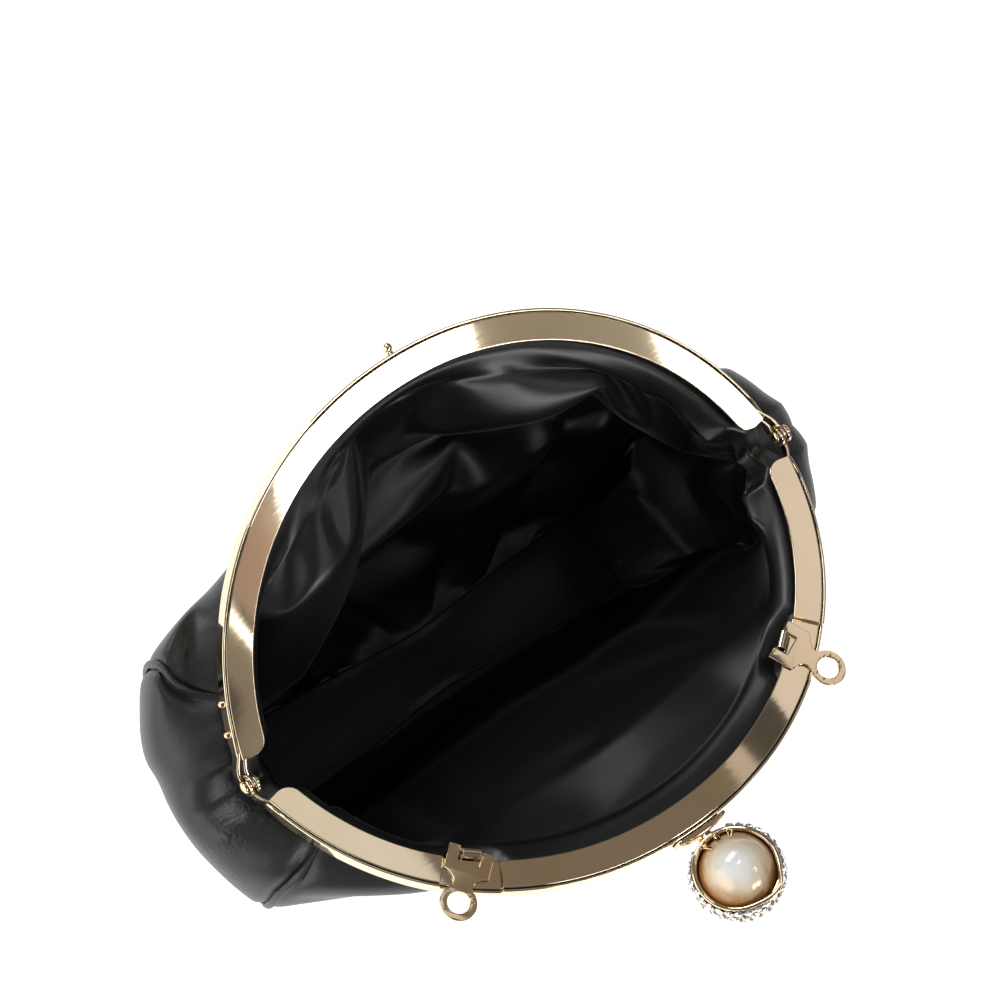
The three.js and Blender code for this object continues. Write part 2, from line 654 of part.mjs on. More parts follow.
// A strip of the front or back wall; across runs from -1 to 1 between the corner seams.
function panelStrip(side, across, layer) {
  const distance = ARCH_LENGTH * THREE.MathUtils.lerp(1 - SEAM_STATION, SEAM_STATION, (1 + across) / 2);
  const place = (inward, depth) => onOpenFrame(side, distance, inward, depth);
  const reach = place(0, 0).x / onOpenFrame(side, ARCH_LENGTH * SEAM_STATION, 0, 0).x;
  const control = (shape, height) => new THREE.Vector3(
    reach * -bow(shape.x, reach),
    -side * bow(shape.y, reach),
    height,
  );
  return stripCurve(
    place,
    layer,
    control(FRONT_SPREAD, HINGE_HEIGHT + bow(FRONT_SPREAD.z, reach)),
    control(FRONT_FLANK, HINGE_HEIGHT + bow(FRONT_FLANK.z, reach)),
    control(FRONT_FOOT, layer.foot),
  );
}

// A strip of an end wall; side is -1 left and 1 right, across runs from -1 (front) to 1 (back).
function endStrip(side, across, layer) {
  const reach = Math.abs(across);
  const half = across < 0 ? -1 : 1;
  const climb = Math.max((reach - HINGE_CLEAR) / (1 - HINGE_CLEAR), 0);
  const distance = side > 0 ? ARCH_LENGTH * SEAM_STATION * climb : ARCH_LENGTH * (1 - SEAM_STATION * climb);
  // Below the knuckle the end wall hangs free of the frame.
  const free = Math.max(1 - reach / HINGE_CLEAR, 0);
  const place = (inward, depth) => {
    const point = onOpenFrame(half, distance, inward, depth);
    point.x -= side * HINGE_TUCK * free;
    point.y *= 1 - free;
    point.z -= HINGE_SAG * free;
    return point;
  };
  const control = (shape, height) => new THREE.Vector3(
    -side * bow(shape.x, across),
    -across * shape.y[0],
    height,
  );
  return stripCurve(
    place,
    layer,
    control(END_SPREAD, HINGE_HEIGHT + bow(END_SPREAD.z, across)),
    control(END_FLANK, HINGE_HEIGHT + bow(END_FLANK.z, across)),
    control(END_FOOT, layer.foot),
  );
}

// Both faces of a wall piece: columns follow the strips, rows run from the frame to the base.
function wallGeometry(makeStrip, columns, layer) {
  const grids = [0, 1].map((face) => {
    const depth = layer.depth - face * layer.thickness * 0.6;
    const strips = [];
    for (let c = 0; c <= columns; c += 1) {
      strips.push(makeStrip((-1 + (2 * c) / columns) * (1 - SEAM_MARGIN), { ...layer, depth }));
    }
    return WALL_ROWS.map((share) => {
      const settled = THREE.MathUtils.smoothstep(share, RUN_SHARE, 0.5);
      return strips.map((strip) => wallPoint(strip, share, layer.inset * settled + face * layer.thickness));
    });
  });
  return slab(grids[0], grids[1]);
}

function seamGeometry(endSide, half) {
  const strip = endStrip(endSide, half, { ...LEATHER_LAYER, foot: BASE_TOP + 1.5 });
  const sections = [];
  for (let i = 0; i <= SEAM_STEPS; i += 1) {
    const share = THREE.MathUtils.lerp(SEAM_HEAD, 0.985, i / SEAM_STEPS);
    const centre = wallPoint(strip, share, -SEAM_STANDOFF);
    const along = wallPoint(strip, share + 0.01, 0).sub(wallPoint(strip, share - 0.01, 0)).normalize();
    const outward = new THREE.Vector3(centre.x, centre.y, 0).normalize();
    outward.addScaledVector(along, -outward.dot(along)).normalize();
    const across = new THREE.Vector3().crossVectors(along, outward);
    const section = [];
    for (let j = 0; j < SEAM_SIDES; j += 1) {
      const angle = (j / SEAM_SIDES) * Math.PI * 2;
      const point = centre.clone().addScaledVector(outward, SEAM_PIPE * Math.cos(angle));
      section.push(point.addScaledVector(across, SEAM_PIPE * 1.3 * Math.sin(angle)));
    }
    sections.push(section);
  }
  const cap = sections[0].map((_, j) => {
    const angle = (j / SEAM_SIDES) * Math.PI * 2;
    return new THREE.Vector2(Math.cos(angle), Math.sin(angle));
  });
  return loft(sections, cap);
}

// A flat panel with bowed sides, standing on height "bottom".
function floorGeometry({ length, width, thickness }, bottom) {
  const shape = new THREE.Shape();
  const x = length - FLOOR_CORNER;
  const y = width - FLOOR_CORNER;
  const side = width + FLOOR_BULGE;
  shape.moveTo(-x, -width);
  shape.quadraticCurveTo(0, -side, x, -width);
  shape.quadraticCurveTo(length, -width, length, -y);
  shape.lineTo(length, y);
  shape.quadraticCurveTo(length, width, x, width);
  shape.quadraticCurveTo(0, side, -x, width);
  shape.quadraticCurveTo(-length, width, -length, y);
  shape.lineTo(-length, -y);
  shape.quadraticCurveTo(-length, -width, -x, -width);
  return new THREE.ExtrudeGeometry(shape, {
    depth: thickness,
    bevelEnabled: false,
    curveSegments: 6,
  }).translate(0, 0, bottom);
}

for (const [kind, layer, finish] of [
  ["leather", LEATHER_LAYER, BLACK_LEATHER],
  ["lining", LINING_LAYER, BLACK_SATIN],
]) {
  for (const [side, word] of [[-1, "front"], [1, "back"]]) {
    const strips = (across, at) => panelStrip(side, across, at);
    piece(`${kind}_${word}`, wallGeometry(strips, PANEL_COLUMNS, layer), finish);
  }
  for (const [side, word] of [[-1, "left"], [1, "right"]]) {
    const strips = (across, at) => endStrip(side, across, at);
    piece(`${kind}_end_${word}`, wallGeometry(strips, END_COLUMNS, layer), finish);
  }
}

for (const [side, word] of [[-1, "left"], [1, "right"]]) {
  for (const [half, place] of [[-1, "front"], [1, "back"]]) {
    piece(`seam_${place}_${word}`, seamGeometry(side, half), BLACK_LEATHER);
  }
}

piece("leather_base", floorGeometry(LEATHER_FLOOR, 0), BLACK_LEATHER);
piece("base_board", floorGeometry(BOARD_FLOOR, BASE_TOP), GREY_BOARD);
piece("lining_base", floorGeometry(LINING_FLOOR, BASE_TOP + BOARD_FLOOR.thickness + 0.3), BLACK_SATIN);

export default purse;
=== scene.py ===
import json
import math
import random

import bmesh
import bpy
import numpy as np
from mathutils import Matrix, Vector, noise
from mathutils.bvhtree import BVHTree


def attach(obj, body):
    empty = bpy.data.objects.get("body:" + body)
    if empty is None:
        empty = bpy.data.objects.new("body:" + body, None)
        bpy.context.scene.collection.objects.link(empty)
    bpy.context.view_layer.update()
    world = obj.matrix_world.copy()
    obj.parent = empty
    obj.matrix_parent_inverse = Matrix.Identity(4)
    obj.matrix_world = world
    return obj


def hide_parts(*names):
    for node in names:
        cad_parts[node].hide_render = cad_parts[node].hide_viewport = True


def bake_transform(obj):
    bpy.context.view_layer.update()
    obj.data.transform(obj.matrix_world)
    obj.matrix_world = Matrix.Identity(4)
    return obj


# A framed clutch purse, standing wide open. +X is along the hinge line, and the front half opens towards
# -Y. Sizes of the frame, clasp and walls are in millimetres until they are multiplied by MM; the camera,
# the lights, the textures and everything handed to Blender are in metres.

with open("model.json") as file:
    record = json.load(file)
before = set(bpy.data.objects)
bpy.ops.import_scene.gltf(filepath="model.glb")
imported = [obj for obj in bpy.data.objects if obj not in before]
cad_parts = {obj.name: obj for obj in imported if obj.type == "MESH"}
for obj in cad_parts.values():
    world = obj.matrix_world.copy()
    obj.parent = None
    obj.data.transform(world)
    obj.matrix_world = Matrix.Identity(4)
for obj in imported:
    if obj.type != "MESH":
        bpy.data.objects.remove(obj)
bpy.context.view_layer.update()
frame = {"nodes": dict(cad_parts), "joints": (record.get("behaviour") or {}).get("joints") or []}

MM = 0.001
FRONT = -1
BACK = 1
LEFT = -1
RIGHT = 1
HALVES = ((FRONT, "front"), (BACK, "back"))
SIDES = ((LEFT, "left"), (RIGHT, "right"))

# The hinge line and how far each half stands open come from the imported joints.
hinge = next(j for j in frame["joints"] if j["name"] == "front_hinge")
HINGE_Z = hinge["pos_m"][2]
OPEN_ANGLE = math.radians(hinge["range_deg"][1])

# Azimuth, elevation and roll in degrees, and the level place of the point that the camera looks at.
CAMERA = {
    "angles": (-89.477, 64.716, 56.482), "target": (0.01184, 0.02784), "distance": 1.5052,
    "lens": 193.6, "sensor": 36, "clip": (0.1, 10),
}

WHITE = (1.0, 1.0, 1.0)
# The room's darkest and brightest shade, each with its place on the noise that mixes them.
ROOM = ((0.40, (0.08, 0.075, 0.07)), (0.60, (0.22, 0.215, 0.21)))
FLOOR_REACH = 3.0
FLOOR_GLOW = 0.8
# Reflector cards hang level over the purse: x and y spans, radiance and colour.
CARD_HEIGHT = 1.25
CARDS = (
    ("strip_light", (0.488, 0.613), (-0.58, -0.25), 8.0, WHITE),
    ("strip_end", (0.755, 0.80), (-0.60, -0.30), 3.0, WHITE),
    ("strip_start", (0.4185, 0.4275), (-0.60, -0.25), 2.5, WHITE),
    ("beige_card", (0.613, 0.753), (-0.60, -0.25), 0.24, (1.0, 0.92, 0.80)),
    ("blush_card", (0.436, 0.480), (-0.60, -0.25), 0.34, (1.0, 0.68, 0.58)),
    ("low_card", (0.385, 0.4185), (-0.60, -0.30), 0.19, (1.0, 0.86, 0.70)),
    ("peach_card", (0.673, 0.82), (0.18, 0.60), 0.70, (1.0, 0.93, 0.92)),
    ("peach_spot", (0.596, 0.616), (0.18, 0.50), 0.5, (1.0, 0.85, 0.80)),
    ("brown_card", (0.422, 0.596), (0.18, 0.55), 0.13, (1.0, 0.76, 0.55)),
    ("pale_card", (0.36, 0.4165), (0.18, 0.60), 0.70, (1.0, 0.98, 0.97)),
)
SOFTBOXES = (
    ("left_softbox", (-1.3, 0.1, 0.55), (1.7, 0.9), 2.2),
    ("back_softbox", (-0.2, 1.25, 0.95), (0.7, 0.35), 9.0),
    ("front_softbox", (0.2, -1.3, 1.0), (0.7, 0.35), 9.0),
    ("top_softbox", (-0.1, 0.75, 1.6), (0.35, 0.25), 6.0),
)

# Frame arch at its outer edge, as in the CAD model.
ARCH_HALF_WIDTH = 98.75
ARCH_RISE = 91.8
ARCH_DROP = 12.4
ARCH_POWER = 2.055
CHANNEL_FOOT = 6.8
HALF_DEPTH = 5.4
CLOSING_GAP = 0.3
SHEET = 0.8
FLANGE_WIDTH = 5.5
FLANGE_TAPER = 5.0
PLATE_START = 1.1
PLATE_END = 9.2
PLATE_CORNER = 4.5
LUG_ANGLE = math.radians(47.6)
LUG_YAW = math.radians(14)
LUG_REACH = 15.0
LUG_HOLE = 3.2
RECESS_HALF = 9.1
RECESS_RAMP = 0.45
RECESS_DEPTH = 1.2
CURL_RADIUS = 1.65
CURL_INWARD = PLATE_END + CURL_RADIUS + 0.2
CURL_DEPTH = 1.0
LEAF_PITCH = 1.2
LEAF_INSET = 1.15
RIVET_HEAD = 1.9
PIN_HEAD = 1.0
PIN_PLACES = ((7.5, "lower"), (16.0, "upper"))
CATCH_RADIUS = 1.5
CATCH_RISE = 1.75
CLASP_REACH = 16.4
CLASP_DEPTH = 1.2
CLASP_SHIFT = 2.2
CLASP_AXIS = (-0.306, 0.341, 0.889)
SADDLE_HALF = 8.5
PEARL_RADIUS = 11.2
CUP_OUTSIDE = 13.2
CUP_INSIDE = 12.1
CUP_SPAN = math.radians(104)
BEZEL_POINT = math.radians(22)
TIP_RADIUS = 0.85

# Stones in rows round the cup: their centres' sphere, their spacing, and the rows' angles from its axis.
PAVED_RADIUS = 13.45
PAVED_PITCH = 2.75
PAVED_ROWS = 8
PAVED_FROM = 75
PAVED_TO = 168
STONE_RADIUS = 1.28
GRAIN_RADIUS = 0.34

# Body walls, as pairs of (at the corner seams, at the middle of a side), and shares of the way down.
FRONT_SPREAD = ((-116, -116), (-42, -60), (-8, -4))
FRONT_FLANK = ((-100, -100), (-40, -56), (-50, -50))
FRONT_FOOT = ((-77, -77), (-23, -26))
END_SPREAD = ((-116, -136), (-42, -42), (-8, -8))
END_FLANK = ((-100, -98), (-40, -40), (-50, -50))
END_FOOT = ((-77, -80), (-23, -23))
RUN_SHARE = 0.06
FOOT_SHARE = 0.74
FOOT_RADIUS = 15.0
FOLD_SHARE = 0.16
FABRIC_TOP = 2.3
FOLD_REACH = 4.5
FOLD_DEPTH = 8.3
SEAM_STATION = 0.062
HINGE_CLEAR = 0.22
HINGE_SAG = 5.2
HINGE_TUCK = 2.4
SEAM_FROM = 0.19
LEATHER_THICKNESS = 1.1
LINING_THICKNESS = 0.35
WALL_GAP = 3.0
DENT_GAP = 2.9 * MM
DENT_REACH = 5.0 * MM
LEATHER = {"depth": 4.3, "exit": 6.5, "inset": 0.0, "foot": 1.7}
LINING = {"depth": 3.3, "exit": 10.0, "inset": 2.6, "foot": 5.3}

# Relief of the leather in millimetres: gathers, dents, fine waves, and the tucks at the corners.
TUCK = {"gather": 1.1, "dent": 1.2, "fine": 0.15, "width": 3.4, "depth": 2.0}

# Cloth of the lining. It is simulated larger than life, where the solver is steadier.
CLOTH = {
    "grid": (54, 76, 22), "scale": 10, "frames": 30, "quality": 5, "air": 2.0, "stiff": 18,
    "bend": 5.0, "front_slack": 0.03, "back_slack": 0.13, "suction": 0.9, "gravity": 0.15,
}


# ---------------------------------------------------------------- small helpers

def linked(name, data):
    """A new object in the scene."""
    obj = bpy.data.objects.new(name, data)
    bpy.context.scene.collection.objects.link(obj)
    return obj


def quadratic(a, b, c, t):
    return (1 - t) ** 2 * a + 2 * t * (1 - t) * b + t * t * c


def cubic(a, b, c, d, t):
    return (1 - t) ** 3 * a + 3 * t * (1 - t) ** 2 * b + 3 * t * t * (1 - t) * c + t ** 3 * d


def smooth(value, start, end):
    t = np.clip((value - start) / (end - start), 0, 1)
    return t * t * (3 - 2 * t)


def arc(centre, radius, start, end, steps):
    angles = np.radians(np.linspace(start, end, steps + 1))
    return [(centre[0] + radius * math.cos(a), centre[1] + radius * math.sin(a)) for a in angles]


def round_angles(count):
    """Even angles once round."""
    return np.linspace(0, 2 * math.pi, count, endpoint=False)


def on_sphere(polar, azimuth):
    """The unit direction at an angle from +Z and an angle round it."""
    level = math.sin(polar)
    return Vector((level * math.cos(azimuth), level * math.sin(azimuth), math.cos(polar)))


# ---------------------------------------------------------------- camera, lights and floor

def add_camera():
    """Looks down on the open purse from its left, turned so that the hinge line rises to the right."""
    azimuth, elevation, roll = map(math.radians, CAMERA["angles"])
    back = Vector((math.sin(azimuth) * math.cos(elevation),
                   -math.cos(azimuth) * math.cos(elevation),
                   math.sin(elevation)))
    data = bpy.data.cameras.new("camera")
    data.lens = CAMERA["lens"]
    data.sensor_width = CAMERA["sensor"]
    data.clip_start, data.clip_end = CAMERA["clip"]
    camera = linked("camera", data)
    camera.rotation_mode = "QUATERNION"
    turn = Matrix.Rotation(roll, 4, back)
    camera.rotation_quaternion = turn.to_quaternion() @ (-back).to_track_quat("-Z", "Y")
    camera.location = Vector((*CAMERA["target"], HINGE_Z)) + back * CAMERA["distance"]
    bpy.context.scene.camera = camera


def add_area_light(name, place, aim, size, radiance, colour=WHITE):
    """A rectangular light; its power is worked out from the radiance that it should show."""
    data = bpy.data.lights.new(name, "AREA")
    data.shape = "RECTANGLE"
    data.size, data.size_y = size
    data.energy = radiance * math.pi * size[0] * size[1]
    data.color = colour
    light = linked(name, data)
    light.location = place
    light.rotation_mode = "QUATERNION"
    light.rotation_quaternion = (Vector(aim) - Vector(place)).to_track_quat("-Z", "Y")


def add_studio():
    """A dim uneven room, level reflector cards and a few softboxes."""
    world = bpy.data.worlds.new("studio")
    bpy.context.scene.world = world
    world.use_nodes = True
    tree = world.node_tree
    coordinates = add_node(tree, "ShaderNodeTexCoord")
    unevenness = add_node(tree, "ShaderNodeTexNoise", Scale=3.2, Detail=1.5, Distortion=0.8)
    tree.links.new(coordinates.outputs["Generated"], unevenness.inputs["Vector"])
    shade = ramped(tree, unevenness.outputs["Fac"], *ROOM)
    tree.links.new(shade, tree.nodes["Background"].inputs["Color"])
    for name, along, across, radiance, colour in CARDS:
        place = (sum(along) / 2, sum(across) / 2, CARD_HEIGHT)
        below = (place[0], place[1], 0)
        add_area_light(name, place, below, (along[1] - along[0], across[1] - across[0]), radiance, colour)
    for name, place, size, radiance in SOFTBOXES:
        add_area_light(name, place, (0, 0, HINGE_Z), size, radiance)


def add_floor():
    mesh = bpy.data.meshes.new("floor")
    corners = [(x * FLOOR_REACH, y * FLOOR_REACH, 0) for x, y in ((-1, -1), (1, -1), (1, 1), (-1, 1))]
    mesh.from_pydata(corners, [], [(0, 1, 2, 3)])
    floor = linked("floor", mesh)
    material, shader, _ = new_material("floor_paint", (0.9, 0.9, 0.9), 0.8)
    shader.inputs["Emission Color"].default_value = (1, 1, 1, 1)
    shader.inputs["Emission Strength"].default_value = FLOOR_GLOW
    mesh.materials.append(material)


# ---------------------------------------------------------------- materials

def new_material(name, colour, roughness, **inputs):
    """A Principled material, with its shader and its node tree."""
    material = bpy.data.materials.new(name)
    material.use_nodes = True
    shader = material.node_tree.nodes["Principled BSDF"]
    shader.inputs["Base Color"].default_value = (*colour, 1)
    shader.inputs["Roughness"].default_value = roughness
    for key, value in inputs.items():
        shader.inputs[key.replace("_", " ")].default_value = value
    return material, shader, material.node_tree


def add_node(tree, kind, **settings):
    node = tree.nodes.new(kind)
    for key, value in settings.items():
        if key in node.inputs:
            node.inputs[key].default_value = value
        else:
            setattr(node, key, value)
    return node


def noise_of(tree, scale, detail=3.0, stretch=(1, 1, 1)):
    """Noise over the piece's own coordinates, in metres."""
    coordinates = add_node(tree, "ShaderNodeTexCoord")
    mapping = add_node(tree, "ShaderNodeMapping")
    mapping.inputs["Scale"].default_value = stretch
    texture = add_node(tree, "ShaderNodeTexNoise", Scale=scale, Detail=detail)
    tree.links.new(coordinates.outputs["Object"], mapping.inputs["Vector"])
    tree.links.new(mapping.outputs["Vector"], texture.inputs["Vector"])
    return texture.outputs["Fac"]


def ranged(tree, value, low, high, start=0.0, end=1.0):
    """Maps a value from start..end to low..high."""
    node = add_node(tree, "ShaderNodeMapRange")
    limits = {"From Min": start, "From Max": end, "To Min": low, "To Max": high}
    for name, limit in limits.items():
        node.inputs[name].default_value = limit
    tree.links.new(value, node.inputs["Value"])
    return node.outputs["Result"]


def ramped(tree, value, *stops):
    """A colour ramp over a value; each stop is (place, colour)."""
    ramp = add_node(tree, "ShaderNodeValToRGB")
    elements = ramp.color_ramp.elements
    for element, (place, colour) in ((elements[0], stops[0]), (elements[1], stops[-1])):
        element.position = place
        element.color = (*colour, 1)
    for place, colour in stops[1:-1]:
        elements.new(place).color = (*colour, 1)
    tree.links.new(value, ramp.inputs["Fac"])
    return ramp.outputs["Color"]


def mixed_colour(tree, shader, value, colour_a, colour_b):
    shade = ramped(tree, value, (0.35, colour_a), (0.65, colour_b))
    tree.links.new(shade, shader.inputs["Base Color"])


def bumps(tree, shader, *layers):
    """Stacks bump layers; each is (height value, distance in metres, strength)."""
    below = None
    for height, distance, strength in layers:
        bump = add_node(tree, "ShaderNodeBump")
        bump.inputs["Distance"].default_value = distance
        bump.inputs["Strength"].default_value = strength
        tree.links.new(height, bump.inputs["Height"])
        if below is not None:
            tree.links.new(below, bump.inputs["Normal"])
        below = bump.outputs["Normal"]
    tree.links.new(below, shader.inputs["Normal"])


def gold_material(name, colour, shade, roughness, wave):
    """Polished plating: hairline scratches, faint haze, and a surface that is never quite flat."""
    material, shader, tree = new_material(name, colour, roughness, Metallic=1.0)
    haze = noise_of(tree, 60, 4)
    tree.links.new(ranged(tree, haze, roughness * 0.6, roughness * 1.6), shader.inputs["Roughness"])
    mixed_colour(tree, shader, noise_of(tree, 35, 2), colour, shade)
    hairlines = noise_of(tree, 900, 2, (0.08, 1, 1))
    bumps(
        tree, shader,
        (noise_of(tree, 14, 1), 0.004 * wave, 1.0),
        (hairlines, 0.00002, 0.25),
    )
    return material


def leather_material():
    material, shader, tree = new_material("black_leather", (0.012, 0.0125, 0.0135), 0.42)
    shader.inputs["Specular IOR Level"].default_value = 0.55
    shader.inputs["Coat Weight"].default_value = 0.12
    shader.inputs["Coat Roughness"].default_value = 0.35
    mixed_colour(tree, shader, noise_of(tree, 25, 3), (0.010, 0.0125, 0.0125), (0.015, 0.018, 0.018))
    tree.links.new(ranged(tree, noise_of(tree, 40, 4), 0.36, 0.52), shader.inputs["Roughness"])
    grain = add_node(tree, "ShaderNodeTexVoronoi", feature="SMOOTH_F1", Scale=950.0)
    coordinates = add_node(tree, "ShaderNodeTexCoord")
    tree.links.new(coordinates.outputs["Object"], grain.inputs["Vector"])
    pebbles = add_node(tree, "ShaderNodeMath", operation="MULTIPLY")
    tree.links.new(grain.outputs["Distance"], pebbles.inputs[0])
    tree.links.new(ranged(tree, noise_of(tree, 32, 1), 0.25, 1.5, 0.54, 0.66), pebbles.inputs[1])
    bumps(
        tree, shader,
        (noise_of(tree, 45, 2), 0.0008, 0.3),
        (noise_of(tree, 230, 6, (1, 1, 0.45)), 0.0004, 0.45),
        (pebbles.outputs["Value"], 0.0003, 0.8),
    )
    return material


def satin_material():
    """Black satin with painted shade and painted light: its reflection strength falls away towards the foot
    of the lining to darken the deep cavity, and a grazing shine is added higher up the walls.
    """
    material, shader, tree = new_material("black_satin", (0.003, 0.003, 0.0032), 0.24)
    shader.inputs["Anisotropic"].default_value = 0.3
    shader.inputs["Sheen Roughness"].default_value = 0.35
    coordinates = add_node(tree, "ShaderNodeTexCoord")
    place = add_node(tree, "ShaderNodeSeparateXYZ")
    tree.links.new(coordinates.outputs["Object"], place.inputs["Vector"])
    # Painted shade and painted light by height: weaker specular near the foot, stronger specular and a
    # grazing shine higher up.
    specular_with_painted_shade = ranged(tree, place.outputs["Z"], 0.12, 0.6, 0.012, 0.050)
    painted_grazing_sheen = ranged(tree, place.outputs["Z"], 0.0, 0.12, 0.015, 0.060)
    tree.links.new(specular_with_painted_shade, shader.inputs["Specular IOR Level"])
    tree.links.new(painted_grazing_sheen, shader.inputs["Sheen Weight"])
    tree.links.new(ranged(tree, noise_of(tree, 1500, 3), 0.26, 0.40), shader.inputs["Roughness"])
    threads = add_node(tree, "ShaderNodeTexWave", Scale=700.0, Distortion=1.5, Detail=2.0)
    tree.links.new(coordinates.outputs["Object"], threads.inputs["Vector"])
    bumps(
        tree, shader,
        (noise_of(tree, 45, 2), 0.0008, 0.3),
        (threads.outputs["Fac"], 0.00004, 0.35),
        (noise_of(tree, 2600, 2), 0.00004, 0.5),
    )
    return material


def distance_from(tree, point):
    """Distance in metres from a point of the purse."""
    coordinates = add_node(tree, "ShaderNodeTexCoord")
    gap = add_node(tree, "ShaderNodeVectorMath", operation="DISTANCE")
    gap.inputs[1].default_value = point
    tree.links.new(coordinates.outputs["Object"], gap.inputs[0])
    return gap.outputs["Value"]


def nacre_material(top):
    """Pale nacre with fine growth lines, whose colour turns cream and then brown-gold towards the setting
    as a painted reflection of the gold bezel.
    """
    material, shader, tree = new_material("nacre", (0.86, 0.83, 0.78), 0.16)
    shader.inputs["Coat Weight"].default_value = 0.8
    shader.inputs["Coat Roughness"].default_value = 0.03
    shader.inputs["Thin Film Thickness"].default_value = 240
    shader.inputs["Thin Film IOR"].default_value = 1.4
    swirl = noise_of(tree, 110, 4, (1, 0.4, 0.6))
    spread = add_node(tree, "ShaderNodeMath", operation="MULTIPLY_ADD")
    spread.inputs[1].default_value = 0.010
    tree.links.new(swirl, spread.inputs[0])
    tree.links.new(distance_from(tree, top), spread.inputs[2])
    near = ranged(tree, spread.outputs["Value"], 0, 1, 0.0, 0.018)
    # Painted reflection: the brown-gold at the far end of this ramp stands in for the gold setting
    # reflected in the pearl's edge.
    pale, cream, painted_bezel_reflection = (0.93, 0.92, 0.90), (0.84, 0.70, 0.50), (0.38, 0.17, 0.05)
    shade = ramped(tree, near, (0.46, pale), (0.72, cream), (0.97, painted_bezel_reflection))
    tree.links.new(shade, shader.inputs["Base Color"])
    lines = noise_of(tree, 500, 4, (1, 0.15, 0.4))
    bumps(tree, shader, (swirl, 0.0009, 0.6), (lines, 0.00025, 0.6))
    return material


def crystal_material():
    """Foil-backed cut glass."""
    material, shader, tree = new_material("crystal", (0.93, 0.94, 0.96), 0.03, Metallic=0.75)
    shader.inputs["Coat Weight"].default_value = 1.0
    shader.inputs["Coat Roughness"].default_value = 0.01
    mixed_colour(tree, shader, noise_of(tree, 400, 1), (0.96, 0.97, 1.0), (0.72, 0.74, 0.76))
    tree.links.new(ranged(tree, noise_of(tree, 500, 1), 0.0, 0.1), shader.inputs["Roughness"])
    return material


def board_material():
    material, shader, tree = new_material("grey_board", (0.4, 0.36, 0.31), 0.9)
    mixed_colour(tree, shader, noise_of(tree, 900, 4), (0.36, 0.32, 0.27), (0.46, 0.42, 0.37))
    bumps(tree, shader, (noise_of(tree, 1500, 4), 0.0002, 0.5))
    return material


# ---------------------------------------------------------------- frame arch

class Arch:
    """The frame's outer edge in the plane of one half, measured by length from its +X end."""

    def __init__(self):
        foot = math.asin(((CHANNEL_FOOT + ARCH_DROP) / ARCH_RISE) ** (ARCH_POWER / 2))
        angle = np.linspace(foot, math.pi - foot, 4001)
        power = 2 / ARCH_POWER
        self.x = np.sign(np.cos(angle)) * ARCH_HALF_WIDTH * np.abs(np.cos(angle)) ** power
        self.z = ARCH_RISE * np.sin(angle) ** power - ARCH_DROP
        steps = np.hypot(np.diff(self.x), np.diff(self.z))
        self.s = np.concatenate([[0], np.cumsum(steps)])
        self.length = self.s[-1]

    def point(self, s):
        s = np.clip(s, 0, self.length)
        return np.interp(s, self.s, self.x), np.interp(s, self.s, self.z)

    def normal(self, s):
        s = np.clip(s, 0.05, self.length - 0.05)
        ahead, behind = self.point(s + 0.05), self.point(s - 0.05)
        dx, dz = ahead[0] - behind[0], ahead[1] - behind[1]
        size = np.hypot(dx, dz)
        return dz / size, -dx / size

    def at_angle(self, angle):
        found = np.arctan2(self.z + ARCH_DROP, self.x) >= angle
        return self.s[np.argmax(found)]


arch = Arch()
LUG_STATIONS = {RIGHT: arch.at_angle(LUG_ANGLE), LEFT: arch.length - arch.at_angle(LUG_ANGLE)}
CLASP_STATION = arch.length / 2 - CLASP_SHIFT


def half_point(half, s, inward, depth):
    """Points of an open half, in metres: s along the arch, inward from its edge, depth from its face."""
    x, z = arch.point(s)
    nx, nz = arch.normal(s)
    x, z = x - nx * inward, z - nz * inward
    cos, sin = math.cos(OPEN_ANGLE), math.sin(OPEN_ANGLE)
    y = half * (depth * cos + z * sin)
    up = -depth * sin + z * cos
    return np.stack(np.broadcast_arrays(x * MM, y * MM, HINGE_Z + up * MM), axis=-1)


def half_axes(half, s):
    """The directions outward from the arch, out of the half's face, and along the arch, at s."""
    origin = half_point(half, s, 0, 0)
    outward = Vector(half_point(half, s, -1, 0) - origin).normalized()
    face = Vector(half_point(half, s, 0, -1) - origin).normalized()
    return outward, face, outward.cross(face).normalized()


def recess(s):
    """How far the front half's face is pressed in under the lugs."""
    near = min(abs(s - station) for station in LUG_STATIONS.values())
    return RECESS_DEPTH * smooth(RECESS_HALF - near, 0, RECESS_RAMP)


# ---------------------------------------------------------------- mesh helpers

def new_object(name, vertices, faces, material, sharp=0):
    """A smooth object whose edges stay sharp above an angle in degrees, or nowhere at 0."""
    mesh = bpy.data.meshes.new(name)
    mesh.from_pydata([tuple(v) for v in vertices], [], faces)
    mesh.validate()
    mesh.materials.append(material)
    mesh.shade_smooth()
    if sharp:
        mesh.set_sharp_from_angle(angle=math.radians(sharp))
    return linked(name, mesh)


def outward_facing(obj):
    work = bmesh.new()
    work.from_mesh(obj.data)
    bmesh.ops.recalc_face_normals(work, faces=work.faces)
    work.to_mesh(obj.data)
    work.free()
    return obj


def mesh_from(work, name, material):
    """Finishes bmesh work as a smooth mesh."""
    mesh = bpy.data.meshes.new(name)
    work.to_mesh(mesh)
    work.free()
    mesh.materials.append(material)
    mesh.shade_smooth()
    return mesh


def cleaned(mesh, merge, sharp):
    """Joins double points, turns the faces outward, and keeps edges above an angle in degrees sharp."""
    work = bmesh.new()
    work.from_mesh(mesh)
    bmesh.ops.remove_doubles(work, verts=work.verts, dist=merge)
    bmesh.ops.recalc_face_normals(work, faces=work.faces)
    work.to_mesh(mesh)
    work.free()
    mesh.shade_smooth()
    mesh.set_sharp_from_angle(angle=math.radians(sharp))


